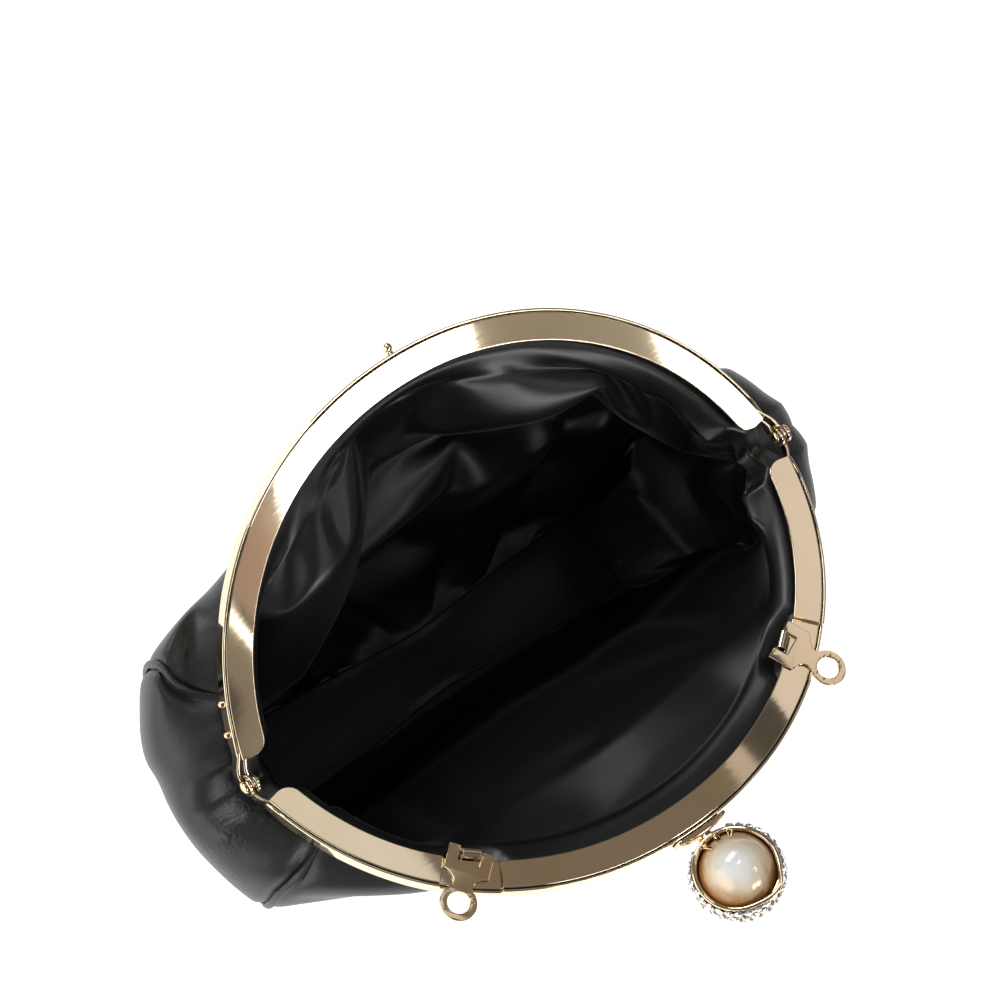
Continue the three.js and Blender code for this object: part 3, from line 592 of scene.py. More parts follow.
def applied(obj):
    """Turns the object's modifiers into its own mesh."""
    graph = bpy.context.evaluated_depsgraph_get()
    mesh = bpy.data.meshes.new_from_object(obj.evaluated_get(graph))
    obj.modifiers.clear()
    obj.data = mesh
    return obj


def evened(obj):
    """Keeps flat faces flat in shading where they meet rounded edges."""
    even = obj.modifiers.new("even_shading", "WEIGHTED_NORMAL")
    even.weight = 100
    even.keep_sharp = True
    return obj


def thickened(obj, thickness, offset):
    solidify = obj.modifiers.new("thickness", "SOLIDIFY")
    solidify.thickness = thickness * MM
    solidify.offset = offset
    return applied(obj)


def place_piece(obj, body, slot, *nodes):
    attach(obj, body)
    if nodes:
        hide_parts(*nodes)
    return obj


def joined(name, parts):
    """One object made of several, which keep their materials."""
    work = bmesh.new()
    materials = []
    for part in parts:
        for material in part.data.materials:
            if material not in materials:
                materials.append(material)
    for part in parts:
        mesh = part.data
        order = [materials.index(m) for m in mesh.materials]
        for polygon in mesh.polygons:
            polygon.material_index = order[polygon.material_index]
        mesh.transform(part.matrix_world)
        work.from_mesh(mesh)
        bpy.data.objects.remove(part)
    mesh = bpy.data.meshes.new(name)
    work.to_mesh(mesh)
    work.free()
    for material in materials:
        mesh.materials.append(material)
    return linked(name, mesh)


def rounded(corners, radii, steps=4):
    """A closed outline whose corners are arcs."""
    outline = []
    count = len(corners)
    for i, corner in enumerate(corners):
        corner = np.array(corner, float)
        before = np.array(corners[i - 1], float) - corner
        after = np.array(corners[(i + 1) % count], float) - corner
        radius = radii[i] if hasattr(radii, "__len__") else radii
        reach = min(radius, np.linalg.norm(before) * 0.45, np.linalg.norm(after) * 0.45)
        before, after = before / np.linalg.norm(before), after / np.linalg.norm(after)
        a, b = corner + before * reach, corner + after * reach
        outline.append(a + before * min(0.12, reach * 0.1))
        outline.extend(quadratic(a, corner, b, k / steps) for k in range(steps + 1))
        outline.append(b + after * min(0.12, reach * 0.1))
    return np.array(outline)


def sweep(name, sections, material, sharp=50):
    """Skins a row of closed sections and caps its ends."""
    count = len(sections[0])
    vertices = np.concatenate(sections)
    faces = []
    for i in range(len(sections) - 1):
        for j in range(count):
            a, b = i * count + j, i * count + (j + 1) % count
            faces.append((a, b, b + count, a + count))
    faces.append(tuple(range(count))[::-1])
    faces.append(tuple(range(len(vertices) - count, len(vertices))))
    return outward_facing(new_object(name, vertices, faces, material, sharp))


def lathe(name, profile, matrix, material, segments):
    """Turns (radius, height) points in millimetres round the matrix's Z axis, closed at both ends."""
    profile = [(radius * MM, height * MM) for radius, height in profile]
    profile[0] = (0, profile[0][1])
    profile[-1] = (0, profile[-1][1])
    vertices, faces = [], []
    for k in range(segments):
        angle = 2 * math.pi * k / segments
        for radius, height in profile:
            vertices.append(matrix @ Vector((radius * math.cos(angle), radius * math.sin(angle), height)))
    count = len(profile)
    for k in range(segments):
        a, b = k * count, ((k + 1) % segments) * count
        faces.extend((a + j, b + j, b + j + 1, a + j + 1) for j in range(count - 1))
    obj = new_object(name, vertices, faces, material)
    cleaned(obj.data, 1e-6, 40)
    return obj


def domed(radius, base, rise):
    """The profile of a low round head, from its edge to its top."""
    return [(radius * math.cos(a), base + rise * math.sin(a)) for a in np.linspace(0, math.pi / 2, 9)]


def stamped(name, outlines, thickness, edge, matrix, material):
    """A sheet-metal blank: its first outline is the edge and the others are holes, in millimetres."""
    curve = bpy.data.curves.new(name, "CURVE")
    curve.dimensions = "2D"
    curve.fill_mode = "BOTH"
    curve.extrude = (thickness / 2 - edge) * MM
    curve.bevel_depth = edge * MM
    curve.bevel_resolution = 2
    curve.offset = -edge * MM
    for outline in outlines:
        spline = curve.splines.new("POLY")
        spline.points.add(len(outline) - 1)
        for point, (x, y) in zip(spline.points, outline):
            point.co = (x * MM, y * MM, 0, 1)
        spline.use_cyclic_u = True
    source = linked(name + "_outline", curve)
    bpy.context.view_layer.update()
    graph = bpy.context.evaluated_depsgraph_get()
    mesh = bpy.data.meshes.new_from_object(source.evaluated_get(graph))
    bpy.data.objects.remove(source)
    mesh.transform(matrix)
    mesh.materials.clear()
    mesh.materials.append(material)
    cleaned(mesh, 1e-7, 20)
    return linked(name, mesh)


# ---------------------------------------------------------------- frame pieces

def frame_stations(front):
    """Places along the arch for the frame's sections, closer where the face is pressed in."""
    stations = list(np.linspace(0, arch.length, 181))
    if front:
        for station in LUG_STATIONS.values():
            for edge in (station - RECESS_HALF, station + RECESS_HALF):
                stations.extend(edge + np.linspace(-RECESS_RAMP, RECESS_RAMP, 9))
    stations.extend(arch.length * np.array([0, 1]) + np.array([0.4, -0.4]))
    return sorted(stations)


def make_channel(half, gold):
    """The rolled U that holds the cloth, slimmer at its ends."""
    sections = []
    for s in frame_stations(half == FRONT):
        lip = CLOSING_GAP + (recess(s) if half == FRONT else 0)
        grown = min(min(s, arch.length - s) / FLANGE_TAPER, 1)
        flange = 1.7 + (FLANGE_WIDTH - 1.7) * grown
        corners = [
            (0, lip), (SHEET, lip), (SHEET, HALF_DEPTH - SHEET), (flange, HALF_DEPTH - SHEET),
            (flange, HALF_DEPTH), (0, HALF_DEPTH),
        ]
        outline = rounded(corners, (0.45, 0.3, 0.3, 0.3, 0.3, 1.1))
        slim = 1 - 0.35 * (1 - smooth(min(s, arch.length - s), 0, 7))
        depth = HALF_DEPTH / 2 + (outline[:, 1] - HALF_DEPTH / 2) * slim
        sections.append(half_point(half, s, outline[:, 0], depth))
    return sweep("channel", sections, gold)


def make_plate(half, gold):
    """The flat bright plate over the channel's inner side, with round ends."""
    sections = []
    ends = PLATE_CORNER * (1 - np.cos(np.linspace(0, math.pi / 2, 9)))
    extra = np.concatenate([ends, arch.length - ends])
    stations = sorted(set(np.round(np.concatenate([frame_stations(half == FRONT), extra]), 4)))
    for s in stations:
        to_end = min(s, arch.length - s, PLATE_CORNER)
        cut = PLATE_CORNER - math.sqrt(max(PLATE_CORNER ** 2 - (PLATE_CORNER - to_end) ** 2, 0))
        top = CLOSING_GAP + (recess(s) if half == FRONT else 0)
        edge = PLATE_END - cut
        corners = [
            (PLATE_START, top + 0.05), (edge, top), (edge, top + SHEET),
            (PLATE_START + SHEET, top + SHEET), (PLATE_START + SHEET, max(2.45, top + SHEET + 0.3)),
            (PLATE_START, max(2.45, top + SHEET + 0.3)),
        ]
        outline = rounded(corners, (0.35, 0.4, 0.3, 0.1, 0.1, 0.1))
        sections.append(half_point(half, s, outline[:, 0], outline[:, 1]))
    return sweep("plate", sections, gold)


def make_leaf(half, side, offset, gold):
    """A hinge leaf: an eye round the rivet, and a shank that runs up into the channel."""
    rise, far, near = CHANNEL_FOOT + 5, HALF_DEPTH - 0.5, SHEET
    shank = [rise - k for k in range(12)]
    outline = [(near, rise), (far, rise)] + [(far - 0.9 * float(smooth(-h, -10, -4)), h) for h in shank[1:]]
    outline += arc((0, 0), 3.1, 30, -215, 30)
    outline += [(near + 0.1, h) for h in reversed(shank[1:])]
    bore = arc((0, 0), 1.3, 0, 345, 23)
    cos, sin = math.cos(OPEN_ANGLE), math.sin(OPEN_ANGLE)
    depth = Vector((0, half * cos, -sin))
    height = Vector((0, half * sin, cos))
    matrix = Matrix((depth, height, depth.cross(height))).transposed().to_4x4()
    x = side * (ARCH_HALF_WIDTH - LEAF_INSET + offset * LEAF_PITCH)
    matrix.translation = Vector((x * MM, 0, HINGE_Z))
    leaf = stamped("leaf", [outline, bore], 0.9, 0.16, matrix, gold)
    for vertex in leaf.data.vertices:
        reach = (vertex.co - matrix.translation).dot(height)
        vertex.co.x -= side * 4.2 * MM * float(smooth(reach, 2.6 * MM, 11.5 * MM))
    return leaf


def lug_matrix(side):
    """The lug's hinge: X along the arch, Y outward over the plate, Z out of the face."""
    s = LUG_STATIONS[side]
    outward, face, along = half_axes(FRONT, s)
    matrix = Matrix((along, outward, face)).transposed().to_4x4()
    matrix.translation = Vector(half_point(FRONT, s, CURL_INWARD, CURL_DEPTH))
    return matrix


def make_tongue(side, gold):
    """The tongue of the plate that curls round the lug's bar."""
    outline = [(-CURL_RADIUS - 1.6, CURL_RADIUS)] + arc((0, 0), CURL_RADIUS, 90, -190, 28)
    outline += arc((0, 0), 1.1, -190, 90, 28) + [(-CURL_RADIUS - 1.6, 1.1)]
    turn = Matrix(((0, 0, 1), (-1, 0, 0), (0, -1, 0))).to_4x4()
    return stamped("tongue", [outline], 5.2, 0.1, lug_matrix(side) @ turn, gold)


def make_lug(side, gold):
    half, heel, shoulder, neck, ring = 6.5, -1.3, 6.2, 2.8, 5.3
    window, bar, window_top = 3.1, 0.35, CURL_RADIUS + 1.5
    neck_top = LUG_REACH - ring - 0.3
    turn = math.degrees(math.acos(neck / ring))

    def shoulder_curve(sign):
        ends = (sign * half, shoulder), (sign * (neck + 0.3), shoulder + 1), (sign * neck, neck_top)
        ends = [np.array(end) for end in ends]
        return [tuple(quadratic(*ends, t)) for t in np.linspace(0, 1, 9)]

    outline = [(-half, heel), (-window - 0.1, heel), (-window, -bar), (window, -bar), (window + 0.1, heel)]
    outline += [(half, heel)] + shoulder_curve(1)
    outline += arc((0, LUG_REACH), ring, -turn + 2, 180 + turn - 2, 48)
    outline += shoulder_curve(-1)[::-1]
    slot = [(-window, bar), (-window, window_top), (window, window_top), (window, bar)]
    hole = arc((0, LUG_REACH), LUG_HOLE, 0, 352, 44)
    matrix = lug_matrix(side) @ Matrix.Rotation(-LUG_YAW, 4, "Z")
    return stamped("lug", [outline, slot, hole], 0.7, 0.2, matrix, gold)


def make_rivet(side, gold):
    span = LEAF_PITCH + 0.45 + 0.3
    half_profile = [(1.0, span), (RIVET_HEAD, span)] + domed(RIVET_HEAD, span + 0.15, 0.85)
    profile = [(r, -h) for r, h in reversed(half_profile)] + half_profile
    matrix = Matrix.Rotation(math.pi / 2, 4, "Y")
    matrix.translation = Vector((side * (ARCH_HALF_WIDTH - LEAF_INSET) * MM, 0, HINGE_Z))
    return lathe("rivet", profile, matrix, gold, 32)


def on_back_edge(s, sunk, depth):
    """A place on the back half's outer edge: Z outward, X along the arch."""
    outward, face, along = half_axes(BACK, s)
    matrix = Matrix((along, face, outward)).transposed().to_4x4()
    matrix.translation = Vector(half_point(BACK, s, -sunk, depth))
    return matrix


def make_pin(s, gold):
    profile = [(0, 0), (PIN_HEAD, 0)] + domed(PIN_HEAD, 0.15, 0.85)
    return lathe("pin", profile, on_back_edge(s, 0.1, HALF_DEPTH / 2 + 0.8), gold, 24)


def make_catch_ball(gold):
    ball = [(CATCH_RADIUS * math.cos(a), CATCH_RISE + CATCH_RADIUS * math.sin(a))
            for a in np.linspace(-1.05, math.pi / 2, 18)]
    profile = [(0, 0), (1.15, 0), (0.95, 0.35), (0.8, 0.6)] + ball
    return lathe("ball", profile, on_back_edge(CLASP_STATION, 0.05, HALF_DEPTH / 2), gold, 32)


def add_frame(gold, fittings):
    for half, word in HALVES:
        parts = [make_channel(half, gold)]
        for side, _ in SIDES:
            offsets = (0,) if half == FRONT else (-1, 1)
            parts += [make_leaf(half, side, offset, gold) for offset in offsets]
        channel = joined(f"{word}_channel_rolled", parts)
        place_piece(evened(channel), f"frame_{word}", "gold_frame", f"{word}_channel")
        parts = [make_plate(half, gold)]
        if half == FRONT:
            parts += [make_tongue(side, gold) for side, _ in SIDES]
        plate = joined(f"{word}_plate_polished", parts)
        place_piece(evened(plate), f"frame_{word}", "gold_frame", f"{word}_plate")
    for side, word in SIDES:
        lug = make_lug(side, fittings)
        lug.name = f"chain_lug_{word}.001_blank"
        place_piece(evened(lug), f"lug_{word}", "gold_fittings", f"chain_lug_{word}")
        rivet = make_rivet(side, fittings)
        rivet.name = f"hinge_rivet_{word}_domed"
        place_piece(rivet, "root", "gold_fittings", f"hinge_rivet_{word}")
        for distance, place in PIN_PLACES:
            pin = make_pin(distance if side == RIGHT else arch.length - distance, fittings)
            pin.name = f"arm_rivet_{word}_{place}_domed"
            place_piece(pin, "frame_back", "gold_fittings", f"arm_rivet_{word}_{place}")
    ball = make_catch_ball(fittings)
    ball.name = "catch_ball_turned"
    place_piece(ball, "frame_back", "gold_fittings", "catch_ball")


# ---------------------------------------------------------------- clasp

def clasp_matrix():
    """The pearl's centre: Z out of the cup's open side, X roughly away from the frame."""
    outward, face, _ = half_axes(FRONT, CLASP_STATION)
    matrix = Matrix((outward, face.cross(outward), face)).transposed()
    matrix = (face.rotation_difference(Vector(CLASP_AXIS)).to_matrix() @ matrix).to_4x4()
    matrix.translation = Vector(half_point(FRONT, CLASP_STATION, -CLASP_REACH, CLASP_DEPTH))
    return matrix


def make_saddle(gold):
    """The wrap over the channel that carries the clasp."""
    sections = []
    for u in np.linspace(-1, 1, 41):
        swell = 1.4 + 0.9 * math.cos(u * math.pi / 2)
        leg = 2.4 * (1 - 0.25 * u * u)
        corners = [
            (-0.3, 0.45), (-0.3, HALF_DEPTH + 0.3), (leg, HALF_DEPTH + 0.3), (leg, HALF_DEPTH + 1),
            (-swell, HALF_DEPTH + 1), (-swell - 0.4, HALF_DEPTH / 2), (-swell, 0.45),
        ]
        outline = rounded(corners, (0.3, 0.3, 0.2, 0.4, 0.8, 1.0, 0.6))
        end = 1 - 0.1 * max(abs(u) - 0.85, 0) / 0.15
        middle = outline.mean(axis=0)
        outline = middle + (outline - middle) * end
        s = CLASP_STATION + u * SADDLE_HALF
        sections.append(half_point(FRONT, s, outline[:, 0], outline[:, 1]))
    return sweep("saddle", sections, gold)


def make_neck(gold):
    """The waisted post between the saddle and the cup."""
    sections = []
    for t in np.linspace(0, 1, 9):
        radius = 2.9 - 0.6 * math.sin(t * math.pi)
        ring = [(CLASP_STATION + radius * math.cos(a), 2.8 + radius * 0.8 * math.sin(a))
                for a in round_angles(24)]
        sections.append(np.array([half_point(FRONT, s, -0.9 - 2.8 * t, depth) for s, depth in ring]))
    return sweep("neck", sections, gold)


def bezel_radius(angle):
    """The bezel's outline in millimetres: round, and drawn out to a soft point on its outer side."""
    turned = math.atan2(math.sin(angle - BEZEL_POINT), math.cos(angle - BEZEL_POINT))
    return 11.0 + 1.5 * math.exp(-(turned / 0.42) ** 2)


def make_bezel(matrix, gold, lift, width, thick, radius_offset, name):
    """A band round the pearl that follows the bezel's outline."""
    count = 128
    corners = [(-width, -thick), (width, -thick), (width, thick), (-width, thick)]
    ring = rounded(corners, min(width, thick) * 0.9, 3)
    size = len(ring)
    vertices, faces = [], []
    for i in range(count):
        angle = 2 * math.pi * i / count
        radius = bezel_radius(angle) + radius_offset
        height = lift + 0.7 * math.sin(angle * 2 + 0.6)
        direction = Vector((math.cos(angle), math.sin(angle), 0))
        for w, h in ring:
            rise = Vector((0, 0, (height + h) * MM))
            vertices.append(matrix @ (direction * (radius + w) * MM + rise))
        following = (i + 1) % count * size
        for j in range(size):
            n = (j + 1) % size
            faces.append((i * size + j, i * size + n, following + n, following + j))
    return outward_facing(new_object(name, vertices, faces, gold, 60))


def make_claw(matrix, gold, turn):
    """A short claw from the bezel over the pearl's edge."""
    angle = math.radians(turn)
    side = Vector((-math.sin(angle), math.cos(angle), 0))
    sections = []
    for t in np.linspace(0, 1, 9):
        spot = on_sphere(math.radians(66 - 24 * t), angle)
        lift = spot * (11.6 + 0.5 * (1 - t)) * MM
        width = (1.15 - 0.75 * t) * MM
        ring = [matrix @ (lift + side * width * math.cos(a) + spot * 0.45 * MM * math.sin(a))
                for a in round_angles(12)]
        sections.append(np.array(ring))
    return sweep("claw", sections, gold, 60)


def make_tip(matrix, gold):
    """The little ball at the bezel's point."""
    reach = bezel_radius(BEZEL_POINT) + 0.9
    spot = matrix @ (Vector((reach * math.cos(BEZEL_POINT), reach * math.sin(BEZEL_POINT), 4.9)) * MM)
    profile = arc((0, 0), TIP_RADIUS, -90, 90, 12)
    return lathe("tip", profile, Matrix.Translation(spot), gold, 20)


def make_cup(matrix, gold):
    """The clasp's round shell, open towards the pearl."""
    angles = np.linspace(0, CUP_SPAN, 30)
    outside = [(CUP_OUTSIDE * math.sin(a), -CUP_OUTSIDE * math.cos(a)) for a in angles]
    inside = [(CUP_INSIDE * math.sin(a), -CUP_INSIDE * math.cos(a)) for a in angles[::-1]]
    return lathe("cup", outside + inside, matrix, gold, 72)


def make_pearl(matrix, material):
    """A pearl with a slightly uneven skin."""
    work = bmesh.new()
    bmesh.ops.create_icosphere(work, subdivisions=5, radius=1)
    for vertex in work.verts:
        direction = vertex.co.normalized()
        swell = noise.noise(direction * 1.6 + Vector((3.1, 0, 0)))
        vertex.co = direction * (PEARL_RADIUS + 0.16 * swell) * MM
        vertex.co.z *= 0.97
    mesh = mesh_from(work, "pearl", material)
    mesh.transform(matrix)
    return linked("clasp_pearl_polished", mesh)


def stone(radius):
    """A cut stone's vertices and faces, girdle at z = 0: table, crown and pavilion."""
    sides = 8

    def ring(r, z, turn):
        angles = [2 * math.pi * (k + turn) / sides for k in range(sides)]
        return [(r * math.cos(a), r * math.sin(a), z) for a in angles]

    vertices = ring(radius * 0.5, radius * 0.42, 0) + ring(radius, radius * 0.06, 0.5)
    vertices += ring(radius, -radius * 0.1, 0.5) + [(0, 0, -radius * 0.8)]
    faces = [tuple(range(sides))]
    for k in range(sides):
        n = (k + 1) % sides
        faces.append((k, k + sides, n))
        faces.append((n, k + sides, n + sides))
        faces.append((k + sides, k + 2 * sides, n + 2 * sides, n + sides))
        faces.append((k + 2 * sides, 3 * sides, n + 2 * sides))
    return vertices, faces


def paved(matrix, row, turn, limit):
    """Directions from the pearl's centre to the settings of one row, and none next to the frame."""
    to_frame = -half_axes(FRONT, CLASP_STATION)[0]
    polar = math.radians(PAVED_FROM + row * (PAVED_TO - PAVED_FROM) / (PAVED_ROWS - 1))
    count = max(int(2 * math.pi * PAVED_RADIUS * math.sin(polar) / PAVED_PITCH), 3)
    normals = [on_sphere(polar, 2 * math.pi * (k + turn) / count) for k in range(count)]
    return [normal for normal in normals if (matrix.to_3x3() @ normal).dot(to_frame) <= limit]


def make_crystals(matrix, crystal):
    """Rows of cut stones round the cup, each a little turned and tilted."""
    draw = random.Random(7)
    vertices, faces = [], []
    for row in range(PAVED_ROWS):
        for normal in paved(matrix, row, 0.5 * (row % 2), 0.9):
            tilt = Vector((draw.uniform(-1, 1), draw.uniform(-1, 1), draw.uniform(-1, 1))) * 0.16
            turn = (normal + tilt).normalized().to_track_quat("Z", "Y").to_matrix().to_4x4()
            turn = Matrix.Translation(normal * PAVED_RADIUS * MM) @ turn
            turn = turn @ Matrix.Rotation(draw.uniform(0, 1), 4, "Z")
            points, cuts = stone((STONE_RADIUS + draw.uniform(-0.1, 0.1)) * MM)
            start = len(vertices)
            vertices.extend(matrix @ turn @ Vector(p) for p in points)
            faces.extend(tuple(start + i for i in cut) for cut in cuts)
    obj = new_object("clasp_crystals_set", vertices, faces, crystal)
    for polygon in obj.data.polygons:
        polygon.use_smooth = False
    return obj


def make_grains(matrix, gold):
    """The grains of metal between the stones."""
    work = bmesh.new()
    for row in range(PAVED_ROWS - 1):
        for normal in paved(matrix, row + 0.5, 0.25, 0.88):
            spot = Matrix.Translation(matrix @ (normal * (PAVED_RADIUS + 0.15) * MM))
            bmesh.ops.create_icosphere(work, subdivisions=2, radius=GRAIN_RADIUS * MM, matrix=spot)
    return linked("clasp_grains", mesh_from(work, "grains", gold))


def add_clasp(gold, nacre, crystal):
    matrix = clasp_matrix()
    saddle = joined("clasp_saddle_formed", [make_saddle(gold), make_neck(gold)])
    place_piece(saddle, "frame_front", "gold_fittings", "clasp_saddle")
    cup = make_cup(matrix, gold)
    cup.name = "clasp_cup_spun"
    place_piece(cup, "frame_front", "gold_fittings", "clasp_cup")
    rims = [
        make_bezel(matrix, gold, 4.7, 0.6, 0.5, 0.75, "rim_outer"),
        make_bezel(matrix, gold, 3.9, 0.35, 0.9, 0.3, "rim_inner"),
    ]
    rims += [make_claw(matrix, gold, turn) for turn in (150, 172, 196)]
    rims.append(make_tip(matrix, gold))
    bezel = joined("clasp_bezel_rolled", rims)
    place_piece(bezel, "frame_front", "gold_fittings", "clasp_bezel")
    place_piece(make_pearl(matrix, nacre), "frame_front", "nacre", "clasp_pearl")
    place_piece(make_crystals(matrix, crystal), "frame_front", "crystal", "clasp_crystals")
    place_piece(make_grains(matrix, gold), "frame_front", "gold_fittings")


# ---------------------------------------------------------------- walls of the body

def bow(pair, across):
    """From the pair's first value at the seams to its second in the middle."""
    return pair[0] + (pair[1] - pair[0]) * (1 - across * across)


def slump(points):
    """The soft body narrows and leans unevenly towards its ends, below the frame and above the base."""
    x, y, z = points[..., 0], points[..., 1], points[..., 2]
    free = smooth(z, 2, 22) * (1 - smooth(z, 58, 76))
    right = smooth(x, 45, 105) * free
    front_left = smooth(-x, 45, 105) * smooth(-y, 5, 35) * free
    back_left = smooth(-x, 60, 106) * smooth(y, 18, 42) * free
    cheek = smooth(-x, 70, 100) * smooth(y, 12, 28) * (1 - smooth(y, 31, 42)) * free
    moved = points.copy()
    moved[..., 0] -= 2.4 * cheek
    moved[..., 1] *= 1 - 0.24 * right - 0.13 * front_left
    return moved + back_left[..., None] * np.array([6.0, 8.0, 16.0])


def directions(line):
    """Unit directions along a line of points, and away from the purse's axis square to the line."""
    along = np.gradient(line, axis=0)
    along /= np.linalg.norm(along, axis=1)[:, None]
    away = line * np.array([1, 1, 0])
    away -= along * (away * along).sum(axis=1)[:, None]
    away /= np.linalg.norm(away, axis=1)[:, None]
    return along, away


def strip(place, layer, spread, flank, foot, shares):
    """One strip of wall from the frame to the base, in millimetres, at each share of its way down."""
    top, leave = place(FABRIC_TOP, layer["depth"]), place(layer["exit"], layer["depth"])
    bend = place(layer["exit"] + FOLD_REACH, layer["depth"] + 0.5)
    under = place(layer["exit"] + 1.5, FOLD_DEPTH)
    points = []
    for share in shares:
        if share < RUN_SHARE:
            points.append(top + (leave - top) * share / RUN_SHARE)
        elif share < FOLD_SHARE:
            points.append(quadratic(leave, bend, under, (share - RUN_SHARE) / (FOLD_SHARE - RUN_SHARE)))
        else:
            points.append(cubic(under, spread, flank, foot, (share - FOLD_SHARE) / (1 - FOLD_SHARE)))
    points = np.array(points)
    settled = smooth(np.array(shares), RUN_SHARE, 0.5)
    return slump(points - directions(points)[1] * (layer["inset"] * settled)[:, None])


def panel_strip(half, across, layer, shares):
    s = arch.length * (1 - SEAM_STATION + (2 * SEAM_STATION - 1) * (1 + across) / 2)

    def place(inward, depth):
        return half_point(half, s, inward, depth) / MM

    reach = place(0, 0)[0] / (half_point(half, arch.length * SEAM_STATION, 0, 0)[0] / MM)
    points = [np.array([-reach * bow(shape[0], reach), -half * bow(shape[1], reach), z])
              for shape, z in ((FRONT_SPREAD, HINGE_Z / MM + bow(FRONT_SPREAD[2], reach)),
                               (FRONT_FLANK, HINGE_Z / MM + bow(FRONT_FLANK[2], reach)),
                               (FRONT_FOOT, layer["foot"]))]
    return strip(place, layer, *points, shares)


def end_strip(side, across, layer, shares):
    reach = abs(across)
    half = FRONT if across < 0 else BACK
    climb = max((reach - HINGE_CLEAR) / (1 - HINGE_CLEAR), 0)
    s = arch.length * (SEAM_STATION * climb if side == RIGHT else 1 - SEAM_STATION * climb)
    free = max(1 - reach / HINGE_CLEAR, 0)
    hug = 1 - 0.75 * float(smooth(-reach, -0.5, 0))

    def place(inward, depth):
        x, y, z = half_point(half, s, inward * hug, depth) / MM
        return np.array([x - side * HINGE_TUCK * free, y * (1 - free), z - HINGE_SAG * free])

    points = [np.array([-side * bow(shape[0], across), -across * shape[1][0], z])
              for shape, z in ((END_SPREAD, HINGE_Z / MM + bow(END_SPREAD[2], across)),
                               (END_FLANK, HINGE_Z / MM + bow(END_FLANK[2], across)),
                               (END_FOOT, layer["foot"]))]
    return strip(place, layer, *points, shares)


WALLS = ("front", "end_right_front", "end_right_back", "back", "end_left_back", "end_left_front")


def crowded(u, amount):
    """Moves even steps from -1 to 1 closer together at both ends."""
    return u + amount * math.sin(math.pi * u) / math.pi


def tube(layer, panel_columns, end_columns, shares, crowding=0.0):
    """All walls as one closed ring of columns, with the wall that each column starts."""
    columns, walls = [], []
    for make_strip, side, count, sign, names in (
        (panel_strip, FRONT, panel_columns, 1, ("front", "front")),
        (end_strip, RIGHT, 2 * end_columns, 1, ("end_right_front", "end_right_back")),
        (panel_strip, BACK, panel_columns, -1, ("back", "back")),
        (end_strip, LEFT, 2 * end_columns, -1, ("end_left_back", "end_left_front")),
    ):
        for i in range(count):
            across = crowded(sign * (2 * i / count - 1), crowding)
            columns.append(make_strip(side, across, layer, shares))
            walls.append(names[2 * i // count])
    return np.array(columns), walls


def tube_faces(columns, rows):
    faces = []
    for c in range(columns):
        a, b = c * rows, (c + 1) % columns * rows
        faces.extend((a + r, b + r, b + r + 1, a + r + 1) for r in range(rows - 1))
    return faces


def spaced_shares(rows):
    """Rows from the frame to the base, closer together near the frame."""
    return [(i / (rows - 1)) ** 1.15 for i in range(rows)]


def shaded_as_one(obj, normals):
    """Gives a thickened wall the shading of the ring that it was cut from, so its edges don't show."""
    count = len(normals)
    facing = sum(obj.data.vertices[i].normal.dot(normals[i]) for i in range(count))
    sign = 1 if facing > 0 else -1
    outer = [normal * sign for normal in normals]
    obj.data.normals_split_custom_set_from_vertices(outer + [-normal for normal in outer])


def split_walls(name, source, material, thickness, offset):
    """Cuts the ring into its walls, by the face's material index, and gives each one its thickness."""
    made = {}
    sizes = {}
    normals = {tuple(v.co): v.normal.copy() for v in source.data.vertices}
    for index, wall in enumerate(WALLS):
        work = bmesh.new()
        work.from_mesh(source.data)
        others = [f for f in work.faces if f.material_index != index]
        bmesh.ops.delete(work, geom=others, context="FACES")
        for face in work.faces:
            face.material_index = 0
        mesh = mesh_from(work, f"{name}_{wall}", material)
        obj = linked(f"{name}_{wall}_sewn", mesh)
        sizes[wall] = sum(polygon.area for polygon in mesh.polygons)
        kept = [normals[tuple(vertex.co)] for vertex in mesh.vertices]
        shaded_as_one(thickened(obj, thickness, offset), kept)
        made[wall] = obj
    bpy.data.objects.remove(source)
    return made, sizes


def flat_sizes(columns, walls):
    """Each wall's width and length when it is laid flat, from the lines of its grid, in metres."""
    count = len(walls)
    flats = {}
    for wall in WALLS:
        held = [c for c in range(count) if walls[c] == wall]
        held.append((held[-1] + 1) % count)
        grid = columns[held] * MM
        widths = np.linalg.norm(np.diff(grid, axis=0), axis=2).sum(axis=0)
        lengths = np.linalg.norm(np.diff(grid, axis=1), axis=2).sum(axis=1)
        flats[wall] = (float(widths.max()), float(lengths.max()))
    return flats


def turned_out(obj):
    """Makes the faces of an open ring look away from its axis."""
    away = sum(p.normal.x * p.center.x + p.normal.y * p.center.y for p in obj.data.polygons)
    if away < 0:
        obj.data.flip_normals()
    return obj


def ring_object(name, columns, walls):
    """The ring as one object, with the wall's number as each face's material index."""
    count, rows = columns.shape[:2]
    blank = bpy.data.materials.new(name)
    obj = new_object(name, columns.reshape(-1, 3) * MM, tube_faces(count, rows), blank)
    for _ in WALLS[1:]:
        obj.data.materials.append(blank)
    for polygon in obj.data.polygons:
        polygon.material_index = WALLS.index(walls[polygon.index // (rows - 1)])
    return turned_out(outward_facing(obj))


def outward_normals(columns):
    across = np.roll(columns, -1, axis=0) - np.roll(columns, 1, axis=0)
    normal = np.cross(across, np.gradient(columns, axis=1))
    normal /= np.maximum(np.linalg.norm(normal, axis=2), 1e-6)[:, :, None]
    outward = np.sign((normal * columns * np.array([1, 1, 0])).sum(axis=2))
    return normal * outward[:, :, None]


